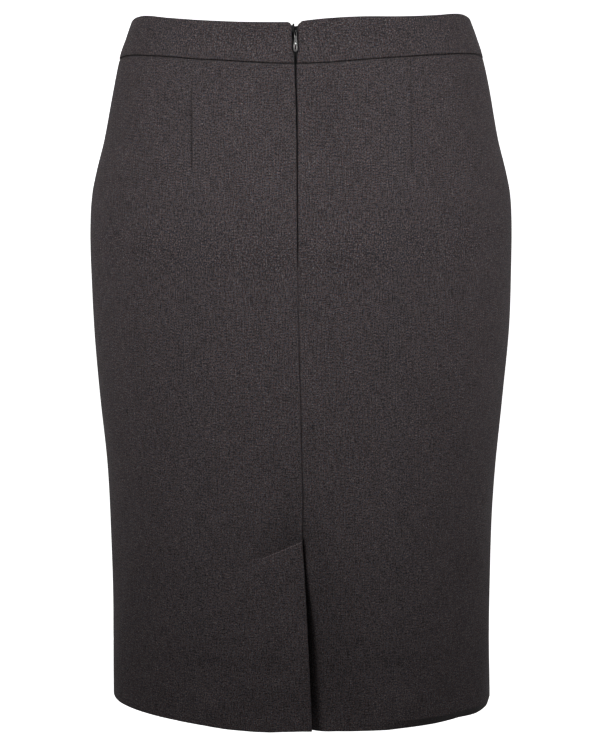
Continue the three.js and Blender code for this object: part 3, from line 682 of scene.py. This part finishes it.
def waistband(start, end, name, sign=0):
    """A stretch of the waistband between two angles, folded over at its top."""
    length = abs(end - start) * ROUND_WAIST
    down = (millimetre_steps(BAND_HEIGHT, EDGE_STEPS, BAND_ROW) / BAND_HEIGHT)[:, None]
    share = (millimetre_steps(length, EDGE_STEPS, BAND_COLUMN) / length)[None, :]
    turn = start + (end - start) * share + 0 * down
    turn_for_height = np.where(turn > math.pi, turn - 2 * math.pi, turn)
    if sign:
        back_top, back_seam = WAIST[0, 1], WAIST[0, 3]
        level = back_top + (back_seam - back_top) * down
        corner = rounded(back_top - level, CORNER_RADIUS)
        if sign > 0:
            corner = corner * RIGHT_CORNER_WIDER
        edge = turn_at(centre_back(level) + sign * (zip_half(level) + corner), level)
        turn = edge + (end - edge) * share
        turn_for_height = turn
    top = waist_height(turn_for_height, 1)
    seam = waist_height(turn_for_height, 3) + WAIST_SEAM_HALF
    z = top + (seam - top) * down
    puff = BAND_PUFF * np.sin(math.pi * down) + 0 * turn
    x = along(SECTIONS, z, 1) * np.sin(turn)
    folds = bumps(x, z, ONE_SIDE_FOLDS) if sign else 0 * x
    radius = WAISTBAND_CLOTH / 2
    start_sink = rounded(np.abs(turn - turn[:, :1]) * ROUND_WAIST_START, radius if sign else SEAM_ROUND)
    roll = 0
    if sign:
        from_edge = np.abs(x - centre_back(z)) - zip_half(z)
        roll = -EDGE_ROLL * np.clip(1 - from_edge / EDGE_ROLL_REACH, 0, 1) ** 2
    top_sink = rounded(top - z, radius)
    outer_sink = np.maximum(top_sink, start_sink)
    arc_end = np.abs(end - turn) * along(SECTIONS, z, 2)
    seam_sink = rounded(arc_end, SEAM_ROUND) + rounded(z - seam, WAIST_ROUND)
    outer_sink = np.minimum(outer_sink + seam_sink, WAIST_ROUND)
    inner_sink = np.maximum(top_sink, start_sink if sign else 0)
    out = WAISTBAND_PROUD + roll + puff + folds + waves(turn, z, BAND_WAVES)
    outer = skin(turn, z, out - outer_sink)
    inner_z = z.copy()
    inner_z[-1] -= WAIST_SEAM_HALF
    inner = skin(turn, inner_z, out - WAISTBAND_CLOTH + inner_sink)
    if sign < 0:
        outer, inner = outer[:, ::-1], inner[:, ::-1]
    return lattice_object(name, outer, inner)


# The concealed zip
TAPE_WIDTH = 12.0
TAPE_CLOTH = 1.0
TAPE_BOTTOM = -203.0
TAPE_TOPS = {-1: 10.8, 1: 8.5}
TAPE_ROWS, TAPE_COLUMNS = 110, 13
# How far the tapes lie under the face, and how much more above a height, with its fade
TAPE_UNDER, TAPE_UNDER_MORE, TAPE_DIPS = 2.3, 0.5, (-40, 12)
# How far from the middle the tapes part above a height, with its fade
TAPE_PART, TAPE_PARTS = 1.0, (-12, 6)
TAPE_FOLLOWS_PULL = -6
# The left tape's top is cut on a slant: how much lower, over which width, above which height
TAPE_SLANT, TAPE_SLANT_WIDTH, TAPE_SLANTS = 2.4, 3.0, (4, 5)
TAPE_RIB, TAPE_RIB_PITCH = 0.08, 1.5
# The coil: its turns, the points of each, its top and its pitch
COIL_TURNS, COIL_POINTS, COIL_TOP, COIL_PITCH = 150, 8, -12, 1.2
# Half its width, how far it lies behind the tapes, half its depth and its wire's radius
COIL_HALF, COIL_BEHIND, COIL_DEEP, COIL_WIRE = 1.25, 1.0, 0.7, 0.3
# The pull's pivot: across, height and how far it stands off the face
PIVOT = (-4.9, 2.2, -0.1)
# Two heights that the slope of the cloth at the pull is taken between
PIVOT_SLOPE = (2.0, -12.0)


def tape_under(z):
    low, fade = TAPE_DIPS
    return TAPE_UNDER + TAPE_UNDER_MORE * ease((z - low) / fade)


def zip_tape(sign, name):
    """A tape of the zip, under one edge of the opening."""
    z = np.linspace(TAPE_TOPS[sign], TAPE_BOTTOM, TAPE_ROWS)[:, None]
    share = np.linspace(0, 1, TAPE_COLUMNS)[None, :]
    low, fade = TAPE_PARTS
    inset = SEAM_HALF + (TAPE_PART - SEAM_HALF) * ease((z - low) / fade)
    middle = np.where(z > TAPE_FOLLOWS_PULL, PIVOT[0], centre_back(z))
    x = middle + sign * (inset + TAPE_WIDTH * share)
    if sign < 0:
        low, fade = TAPE_SLANTS
        z = z - TAPE_SLANT * ease(share * TAPE_WIDTH / TAPE_SLANT_WIDTH) * ease((z - low) / fade)
    z = z + 0 * x
    rib = TAPE_RIB * np.cos(share * TAPE_WIDTH * 2 * math.pi / TAPE_RIB_PITCH)
    edge = np.minimum(share, 1 - share) * TAPE_WIDTH
    sink = rounded(edge, TAPE_CLOTH / 2)
    turn = turn_at(x, z)
    outer = skin(turn, z, -tape_under(z) + rib - sink)
    inner = skin(turn, z, -tape_under(z) - TAPE_CLOTH - rib + sink)
    if sign < 0:
        outer, inner = outer[:, ::-1], inner[:, ::-1]
    return lattice_object(name, outer, inner)


def tube_object(name, path, radius, sides=6):
    """A round thread or wire along a path of points, closed at its ends."""
    path = np.array(path)
    ahead = np.gradient(path, axis=0)
    ahead = ahead / np.linalg.norm(ahead, axis=1)[:, None]
    guide = np.tile(np.array([[0.0, 1.0, 0.0]]), (len(path), 1))
    alike = np.abs((ahead * guide).sum(axis=1)) > 0.9
    guide[alike] = (1.0, 0.0, 0.0)
    first = np.cross(ahead, guide)
    first = first / np.linalg.norm(first, axis=1)[:, None]
    second = np.cross(ahead, first)
    angle = np.arange(sides) * 2 * math.pi / sides
    ring = first[:, None] * np.cos(angle)[None, :, None] + second[:, None] * np.sin(angle)[None, :, None]
    points = (path[:, None] + radius * ring).reshape(-1, 3) * MM
    faces = []
    for i in range(len(path) - 1):
        for j in range(sides):
            k = (j + 1) % sides
            faces.append((i * sides + j, i * sides + k, (i + 1) * sides + k, (i + 1) * sides + j))
    faces.append(tuple(range(sides))[::-1])
    faces.append(tuple(range((len(path) - 1) * sides, len(path) * sides)))
    mesh = bpy.data.meshes.new(name)
    mesh.from_pydata(points.tolist(), [], faces)
    return placed(name, mesh)


def joined(name, pieces):
    """One object of several meshes."""
    points, faces = [], []
    for piece in pieces:
        start = len(points)
        points.extend(tuple(v.co) for v in piece.data.vertices)
        faces.extend(tuple(start + i for i in p.vertices) for p in piece.data.polygons)
        mesh = piece.data
        bpy.data.objects.remove(piece)
        bpy.data.meshes.remove(mesh)
    mesh = bpy.data.meshes.new(name)
    mesh.from_pydata(points, [], faces)
    return placed(name, mesh)


def zip_coil():
    """The coil's loops, behind the closed tapes."""
    path = []
    for i in range(COIL_TURNS * COIL_POINTS):
        angle = i * 2 * math.pi / COIL_POINTS
        z = COIL_TOP - i * COIL_PITCH / COIL_POINTS
        x = float(centre_back(z)) + COIL_HALF * math.cos(angle)
        out = -float(tape_under(z)) - TAPE_CLOTH - COIL_BEHIND + COIL_DEEP * math.sin(angle)
        path.append(skin(turn_at(x, z), np.array(z), out))
    return tube_object("zip_coil", path, COIL_WIRE, 5)


def plate_object(name, outlines, half_thickness, bevel, matrix):
    """A plate of closed outlines, the later ones holes, with rounded edges."""
    curve = bpy.data.curves.new(name, "CURVE")
    curve.dimensions = "2D"
    curve.fill_mode = "BOTH"
    curve.extrude = half_thickness - bevel
    curve.bevel_depth = bevel
    curve.bevel_resolution = 3
    for outline in outlines:
        spline = curve.splines.new("POLY")
        spline.points.add(len(outline) - 1)
        for point, (x, z) in zip(spline.points, outline):
            point.co = (x, z, 0, 1)
        spline.use_cyclic_u = True
    holder = bpy.data.objects.new(name + "_curve", curve)
    bpy.context.scene.collection.objects.link(holder)
    bpy.context.view_layer.update()
    mesh = bpy.data.meshes.new_from_object(holder.evaluated_get(bpy.context.evaluated_depsgraph_get()))
    mesh.transform(matrix)
    mesh.name = name
    bpy.data.objects.remove(holder)
    bpy.data.curves.remove(curve)
    return placed(name, mesh)


def box(half, first, last):
    return [(-half, first), (half, first), (half, last), (-half, last)]


def bend(points, start, control, end, steps=8):
    """Adds points of a curve that a control point bends."""
    for i in range(1, steps + 1):
        t = i / steps
        points.append(tuple(
            (1 - t) ** 2 * start[k] + 2 * t * (1 - t) * control[k] + t * t * end[k] for k in range(2)
        ))


def arc(points, centre, radius, start, end, steps=14):
    """Adds points round a centre."""
    for i in range(1, steps + 1):
        angle = start + (end - start) * i / steps
        points.append((centre[0] + radius * math.cos(angle), centre[1] + radius * math.sin(angle)))


def hardware_matrix(turned_edgewise=False):
    """Places a plate drawn in x and z at the pull's pivot, along the slope of the cloth."""
    pivot_x, pivot_z, pivot_out = PIVOT
    place = skin(turn_at(pivot_x, pivot_z), np.array(pivot_z), pivot_out)
    up, down = (skin(turn_at(pivot_x, z), np.array(z), 0) for z in PIVOT_SLOPE)
    slope = math.atan2(up[1] - down[1], up[2] - down[2])
    upright = Matrix.Rotation(math.radians(90), 4, "X")
    if turned_edgewise:
        upright = Matrix.Rotation(math.radians(90), 4, "Z") @ upright
    scale = Matrix.Scale(MM, 4)
    place = Matrix.Translation(Vector(place.tolist()) * MM)
    return place @ Matrix.Rotation(-slope, 4, "X") @ upright @ scale


def zip_pull():
    """The satin drop with the window that the lug passes through and a slot below it."""
    half, neck, head, pin, length = 1.65, 0.75, 1.15, 0.5, 15.2
    low, shoulder, narrow, belly = half - length, -2.65, -4.65, -9.4
    middle = (shoulder + narrow) / 2
    drop = [(-head, pin), (-head, shoulder)]
    bend(drop, (-head, shoulder), (-neck, middle), (-neck, narrow))
    bend(drop, (-neck, narrow), (-half, belly), (-half, low))
    arc(drop, (0, low), half, math.pi, 2 * math.pi)
    bend(drop, (half, low), (half, belly), (neck, narrow))
    bend(drop, (neck, narrow), (neck, middle), (head, shoulder))
    drop.append((head, pin))
    window_wider = 1.12
    window = box(0.78, -0.5, -2.35)
    slot_top, slot_low, slot_half, slot_wider = (0, -5.7), -13.0, 0.65, 1.3
    slot_bend = (0.8, -9.2)
    slot = [slot_top]
    bend(slot, slot_top, slot_bend, (slot_half, slot_low))
    arc(slot, (0, slot_low), slot_half, 0, -math.pi, 8)
    bend(slot, (-slot_half, slot_low), (-slot_bend[0], slot_bend[1]), slot_top)
    shrink, shorter_below = 0.16, -10
    drop = [
        (x - math.copysign(min(shrink, abs(x)), x), z + (shrink if z < shorter_below else 0))
        for x, z in drop
    ]
    window = [(x * window_wider, z) for x, z in window]
    slot = [(x * slot_wider, z) for x, z in slot[:-1]]
    return plate_object("zip_pull_drop", [drop, window, slot], 0.5, 0.12, hardware_matrix())


def zip_lug():
    """The ring on the slider that the pull hangs on."""
    radius, hole_radius = 1.85, 1.0
    ring, hole = [], []
    arc(ring, (0, 0), radius, 0, 2 * math.pi, 24)
    arc(hole, (0, 0), hole_radius, 0, -2 * math.pi, 20)
    return plate_object("zip_lug", [ring, hole], 0.6, 0.15, hardware_matrix(True))


def zip_slider():
    """The slider's body behind the tapes, and the neck between it and the lug."""
    half, low, high, corner = 3.15, -6.55, 6.3, 1.5
    tail, nose = half * 0.7, half * 0.6
    middle = (low + high) / 2
    body = [(-tail, low), (tail, low)]
    bend(body, (tail, low), (half, middle), (half, high - corner))
    bend(body, (half, high - corner), (half, high), (nose, high))
    body.append((-nose, high))
    bend(body, (-nose, high), (-half, high), (-half, high - corner))
    bend(body, (-half, high - corner), (-half, middle), (-tail, low))
    turn = hardware_matrix()
    body_off, neck_off = -5.15, -2.8
    body_place = turn @ Matrix.Translation((0, 0, body_off))
    neck_place = turn @ Matrix.Translation((0, 0, neck_off))
    plate = plate_object("body", [body[:-1]], 1.15, 0.35, body_place)
    neck = plate_object("neck", [box(0.55, -1.4, 1.4)], 1.45, 0.05, neck_place)
    return joined("zip_slider_metal", [plate, neck])


def vent_stitches():
    """The thread that catches the vent's facings, along the slanted line at its top."""
    count, points, length, radius = 13, 6, 1.9, 0.16
    first, ends_before, below, wander = 1.2, 1.4, 0.75, 0.12
    lift, dip = 0.25, 0.4
    half = (points - 1) / 2
    threads = []
    for i in range(count):
        start = first + i * (UNDERLAP_WIDTH - ends_before) / count
        path = []
        for k in range(points):
            s = -(start + length * k / (points - 1))
            z = VENT_TOP + UNDERLAP_SLOPE * s - below + wander * math.sin(i * 2.3)
            x = float(centre_back(z)) + s
            turn = float(turn_at(x, z))
            lie = float(left_relief(np.array(s), np.array(z))) + float(drape(np.array(turn), np.array(z)))
            sunk = lift - dip * (abs(k - half) / half) ** 3
            path.append(skin(np.array(turn), np.array(z), lie + sunk))
        threads.append(tube_object(f"thread_{i}", path, radius, 6))
    return joined("vent_stitches", threads)


# Materials
def node_kit(name):
    material = bpy.data.materials.new(name)
    material.use_nodes = True
    nodes = material.node_tree.nodes
    links = material.node_tree.links
    shader = nodes["Principled BSDF"]

    def add(kind, **settings):
        node = nodes.new(kind)
        for key, value in settings.items():
            if key.startswith("in_"):
                node.inputs[key[3:].replace("_", " ")].default_value = value
            else:
                setattr(node, key, value)
        return node

    return material, add, links.new, shader


def maths(add, link, operation, first, second=None):
    node = add("ShaderNodeMath", operation=operation)
    for socket, value in zip(node.inputs, (first, second)):
        if value is None:
            continue
        if isinstance(value, (int, float)):
            socket.default_value = value
        else:
            link(value, socket)
    return node.outputs[0]


def stretched_noise(add, link, source, scale, detail=2.0, roughness=0.6):
    mapping = add("ShaderNodeMapping")
    mapping.inputs["Scale"].default_value = scale
    link(source, mapping.inputs["Vector"])
    noise = add("ShaderNodeTexNoise", in_Scale=1.0, in_Detail=detail, in_Roughness=roughness)
    link(mapping.outputs["Vector"], noise.inputs["Vector"])
    return noise.outputs[0]


def mixed(add, link, amount, first, second, blend="MIX"):
    node = add("ShaderNodeMix", data_type="RGBA", blend_type=blend)
    for socket, value in ((node.inputs[0], amount), (node.inputs[6], first), (node.inputs[7], second)):
        if isinstance(value, (int, float, tuple)):
            socket.default_value = value
        else:
            link(value, socket)
    return node.outputs[2]


def ramp(add, link, source, low, high, start=0.0, end=1.0):
    """A value between two limits, spread from a start to an end."""
    node = add("ShaderNodeMapRange", in_From_Min=low, in_From_Max=high, in_To_Min=start, in_To_Max=end)
    link(source, node.inputs["Value"])
    return node.outputs[0]


def ridges(add, link, source, pitch):
    """A wave along a place, with so many metres from ridge to ridge."""
    return maths(add, link, "SINE", maths(add, link, "MULTIPLY", source, 2 * math.pi / pitch))


def grey(add, link, value):
    node = add("ShaderNodeCombineColor")
    for socket in node.inputs:
        link(value, socket)
    return node.outputs[0]


def surface(add, link, shader, height, strength, distance):
    bump = add("ShaderNodeBump", in_Strength=strength, in_Distance=distance)
    link(height, bump.inputs["Height"])
    link(bump.outputs[0], shader.inputs["Normal"])


# The wool's noises: cells for each metre across and along the cloth
GRAIN, HUES, FLECKS, CLOUDS = (900, 790, 1), (930, 820, 1), (900, 820, 1), (34, 26, 1)
WARP, WEFT = (1250, 84, 1), (130, 1150, 1)
# Metres from thread to thread of the weave and of the tape's knitting
WEAVE_ACROSS, WEAVE_ALONG = 0.00062, 0.00056
KNIT_ACROSS, KNIT_ALONG = 0.0009, 0.0007


def wool():
    """Charcoal melange suiting: grey and brown fibres, thick and thin threads, and a fine weave."""
    material, add, link, shader = node_kit("charcoal_melange_wool")
    cloth = add("ShaderNodeUVMap", uv_map="cloth").outputs[0]
    grain = stretched_noise(add, link, cloth, GRAIN, 3.0, 0.8)
    warp = stretched_noise(add, link, cloth, WARP, 2.0, 0.6)
    weft = stretched_noise(add, link, cloth, WEFT, 2.0, 0.6)
    hue = stretched_noise(add, link, cloth, HUES, 2.0, 0.8)
    flecks = stretched_noise(add, link, cloth, FLECKS, 2.0, 0.7)
    clouds = stretched_noise(add, link, cloth, CLOUDS, 3.0, 0.6)
    dark = (0.0045, 0.0034, 0.0034, 1)
    light = (0.0865, 0.0748, 0.0728, 1)
    brown = (0.082, 0.033, 0.031, 1)
    blue = (0.024, 0.034, 0.060, 1)
    pale = (0.180, 0.170, 0.173, 1)
    tinted, flecked = 0.75, 0.85
    colour = mixed(add, link, ramp(add, link, grain, 0.41, 0.62), dark, light)
    browner = maths(add, link, "MULTIPLY", ramp(add, link, hue, 0.53, 0.66), tinted)
    colour = mixed(add, link, browner, colour, brown)
    bluer = maths(add, link, "MULTIPLY", ramp(add, link, hue, 0.47, 0.36), tinted)
    colour = mixed(add, link, bluer, colour, blue)
    threads = ramp(add, link, maths(add, link, "ADD", warp, weft), 0.75, 1.25)
    shade = ramp(add, link, threads, 0.0, 1.0, 0.46, 1.54)
    colour = mixed(add, link, 1.0, colour, grey(add, link, shade), "MULTIPLY")
    paler = maths(add, link, "MULTIPLY", ramp(add, link, flecks, 0.60, 0.70), flecked)
    colour = mixed(add, link, paler, colour, pale)
    cloudy = ramp(add, link, clouds, 0.3, 0.7, 0.93, 1.07)
    # The mesh attribute carries painted shade and painted light, added to the cloth's random tone
    painted_shading = add("ShaderNodeAttribute", attribute_name="painted_shading").outputs["Fac"]
    tone = maths(add, link, "ADD", cloudy, painted_shading)
    colour = mixed(add, link, 1.0, colour, grey(add, link, tone), "MULTIPLY")
    link(colour, shader.inputs["Base Color"])
    link(ramp(add, link, grain, 0.3, 0.7, 0.82, 0.98), shader.inputs["Roughness"])
    shader.inputs["Specular IOR Level"].default_value = 0.18
    shader.inputs["Sheen Weight"].default_value = 0.05
    shader.inputs["Sheen Roughness"].default_value = 0.5
    shader.inputs["Sheen Tint"].default_value = (0.75, 0.72, 0.74, 1)
    apart = add("ShaderNodeSeparateXYZ")
    link(cloth, apart.inputs[0])
    over = ridges(add, link, apart.outputs[0], WEAVE_ACROSS)
    under = ridges(add, link, apart.outputs[1], WEAVE_ALONG)
    weave = maths(add, link, "MULTIPLY", maths(add, link, "MULTIPLY", over, under), 0.3)
    height = maths(add, link, "ADD", weave, maths(add, link, "MULTIPLY", grain, 1.3))
    height = maths(add, link, "ADD", height, threads)
    surface(add, link, shader, height, 0.42, 0.00022)
    return material


def tape_cloth():
    """Black knitted tape with fine ribs along it."""
    material, add, link, shader = node_kit("black_zip_tape")
    place = add("ShaderNodeTexCoord").outputs["Object"]
    noise = stretched_noise(add, link, place, (2600, 2600, 1400), 2.0, 0.6)
    colour = mixed(add, link, noise, (0.004, 0.004, 0.0045, 1), (0.016, 0.015, 0.016, 1))
    link(colour, shader.inputs["Base Color"])
    shader.inputs["Roughness"].default_value = 0.8
    apart = add("ShaderNodeSeparateXYZ")
    link(place, apart.inputs[0])
    across = ridges(add, link, apart.outputs[0], KNIT_ACROSS)
    down = ridges(add, link, apart.outputs[2], KNIT_ALONG)
    height = maths(add, link, "ADD", across, maths(add, link, "ADD", down, noise))
    surface(add, link, shader, height, 0.5, 0.0001)
    return material


def metal(name, dark, light, roughest):
    """Plated metal with fine wear."""
    material, add, link, shader = node_kit(name)
    place = add("ShaderNodeTexCoord").outputs["Object"]
    noise = stretched_noise(add, link, place, (1400, 1400, 700), 3.0, 0.6)
    colour = mixed(add, link, noise, dark, light)
    link(colour, shader.inputs["Base Color"])
    shader.inputs["Metallic"].default_value = 0.95
    link(ramp(add, link, noise, 0.3, 0.7, 0.3, roughest), shader.inputs["Roughness"])
    surface(add, link, shader, noise, 0.15, 0.00005)
    return material


def thread_material(name, dark, light):
    material, add, link, shader = node_kit(name)
    place = add("ShaderNodeTexCoord").outputs["Object"]
    noise = stretched_noise(add, link, place, (3200, 3200, 3200), 2.0, 0.6)
    link(mixed(add, link, noise, dark, light), shader.inputs["Base Color"])
    shader.inputs["Roughness"].default_value = 0.6
    surface(add, link, shader, noise, 0.4, 0.00005)
    return material


def backdrop_material():
    material, add, link, shader = node_kit("pale_backdrop")
    place = add("ShaderNodeTexCoord").outputs["Object"]
    noise = stretched_noise(add, link, place, (3, 3, 3), 2.0, 0.5)
    colour = mixed(add, link, noise, (0.90, 0.90, 0.90, 1), (0.93, 0.93, 0.93, 1))
    link(colour, shader.inputs["Base Color"])
    shader.inputs["Roughness"].default_value = 0.9
    shader.inputs["Emission Color"].default_value = (1, 1, 1, 1)
    apart = add("ShaderNodeSeparateXYZ")
    link(place, apart.inputs[0])
    behind = ramp(add, link, apart.outputs[1], 0.6, 1.5, 0.03, 1.0)
    beside = ramp(add, link, maths(add, link, "ABSOLUTE", apart.outputs[0]), 1.1, 2.2, 1.0, 0.25)
    link(maths(add, link, "MULTIPLY", behind, beside), shader.inputs["Emission Strength"])
    return material


def backdrop():
    """A pale floor that curves up into a wall."""
    floor, wall, radius, near, top, half_width, steps = -1.25, 3.4, 1.0, -3.2, 3.2, 4.0, 12
    profile = [(near, floor), (wall - radius, floor)]
    for i in range(1, steps + 1):
        angle = math.pi / 2 * i / steps
        profile.append((wall - radius + radius * math.sin(angle), floor + radius * (1 - math.cos(angle))))
    profile.append((wall, top))
    points = [(x, y, z) for y, z in profile for x in (-half_width, half_width)]
    faces = [(2 * i, 2 * i + 1, 2 * i + 3, 2 * i + 2) for i in range(len(profile) - 1)]
    mesh = bpy.data.meshes.new("backdrop")
    mesh.from_pydata(points, [], faces)
    piece = placed("backdrop", mesh)
    piece.data.materials.append(backdrop_material())


# Lights, fitted to the shading from the waist down to the hem
# columns: name, place, what it points at, size, watts, how wide its beam is in degrees
LIGHTS = (
    ("left_key", (-1.2, -1.1, 0.5), (0, 0, -0.075), (0.4, 0.6), 1.15, 45),
    ("right_key", (1.2, -1.1, 0.5), (0, 0, -0.075), (0.4, 0.6), 1.15, 45),
    ("left_front", (-0.9, -1.4, 0.5), (0, 0, -0.1), (0.4, 0.4), 0.18, 36),
    ("right_front", (0.9, -1.4, 0.5), (0, 0, -0.1), (0.4, 0.4), 0.18, 36),
    ("left_side", (-1.5, -0.9, 0.1), (0, 0, -0.2), (0.4, 0.6), 0.66, 60),
    ("right_side", (1.5, -0.9, 0.1), (0, 0, -0.2), (0.4, 0.6), 0.66, 60),
    ("front_wash", (0, 1.3, 1.6), (0, 0.1, -0.2), (0.9, 0.6), 2.4, 44),
)


def aimed(name, data, place, target):
    """An object that stands at a place and points at a target."""
    thing = bpy.data.objects.new(name, data)
    thing.location = place
    thing.rotation_euler = (Vector(target) - Vector(place)).to_track_quat("-Z", "Y").to_euler()
    bpy.context.scene.collection.objects.link(thing)
    return thing


def area_light(name, place, target, size, energy, beam):
    data = bpy.data.lights.new(name, "AREA")
    data.shape = "RECTANGLE"
    data.size, data.size_y = size
    data.energy = energy
    data.spread = math.radians(beam)
    aimed(name, data, place, target)


def studio():
    scene = bpy.context.scene
    scene.view_settings.view_transform = "Standard"
    world = bpy.data.worlds.new("studio")
    scene.world = world
    world.use_nodes = True
    world.node_tree.nodes["Background"].inputs[0].default_value = (1, 1, 1, 1)
    world.node_tree.nodes["Background"].inputs[1].default_value = 0.02
    for light in LIGHTS:
        area_light(*light)
    data = bpy.data.cameras.new("camera")
    data.lens = LENS
    scene.camera = aimed("camera", data, CAMERA, LOOK_AT)


studio()
backdrop()

WOOL = wool()
TAPE = tape_cloth()
METAL = metal("satin_nickel", (0.18, 0.176, 0.176, 1), (0.34, 0.332, 0.332, 1), 0.42)
# A darker copy of the plated metal, for the slider and the lug; on the lug the darkness is painted shade
# behind the pull's window
DARK_METAL = metal("darkened_zip_metal", (0.02, 0.02, 0.0205, 1), (0.055, 0.055, 0.056, 1), 0.45)
THREAD = thread_material("stitching_thread", (0.10, 0.07, 0.07, 1), (0.20, 0.16, 0.16, 1))
COIL = thread_material("coil_nylon", (0.006, 0.006, 0.006, 1), (0.02, 0.02, 0.021, 1))

# Angle from the middle of the back or front to a side seam, less the gap there
TO_SIDE = math.pi / 2 - SEAM_HALF / 95

FRONT = front_panel()
BACK_LEFT = back_panel(-1, "back_cloth_left")
BACK_RIGHT = back_panel(1, "back_cloth_right")
BAND_FRONT = waistband(math.pi - TO_SIDE, math.pi + TO_SIDE, "band_front")
BAND_LEFT = waistband(0, -TO_SIDE, "band_back_left", -1)
BAND_RIGHT = waistband(0, TO_SIDE, "band_back_right", 1)
TAPE_LEFT = zip_tape(-1, "tape_left")
TAPE_RIGHT = zip_tape(1, "tape_right")

# columns: piece, node, body, material, slot
PIECES = (
    (FRONT, "front_panel", "skirt", WOOL, "suiting"),
    (BACK_LEFT, "back_panel_left", "skirt", WOOL, "suiting"),
    (BACK_RIGHT, "back_panel_right", "skirt", WOOL, "suiting"),
    (BAND_FRONT, "waistband_front", "skirt", WOOL, "suiting"),
    (BAND_LEFT, "waistband_back_left", "skirt", WOOL, "suiting"),
    (BAND_RIGHT, "waistband_back_right", "skirt", WOOL, "suiting"),
    (TAPE_LEFT, "zip_tape_left", "skirt", TAPE, "zip_tape"),
    (TAPE_RIGHT, "zip_tape_right", "skirt", TAPE, "zip_tape"),
    (zip_slider(), "zip_slider", "skirt", DARK_METAL, "zip_metal"),
    (zip_pull(), "zip_pull", "pull", METAL, "zip_metal"),
    (zip_lug(), None, "skirt", DARK_METAL, "zip_metal"),
    (zip_coil(), None, "skirt", COIL, "zip_tape"),
    (vent_stitches(), None, "skirt", THREAD, "suiting"),
)
for piece, node, body, material, slot in PIECES:
    piece.data.materials.append(material)
    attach(piece, body)
    if node:
        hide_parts(node)
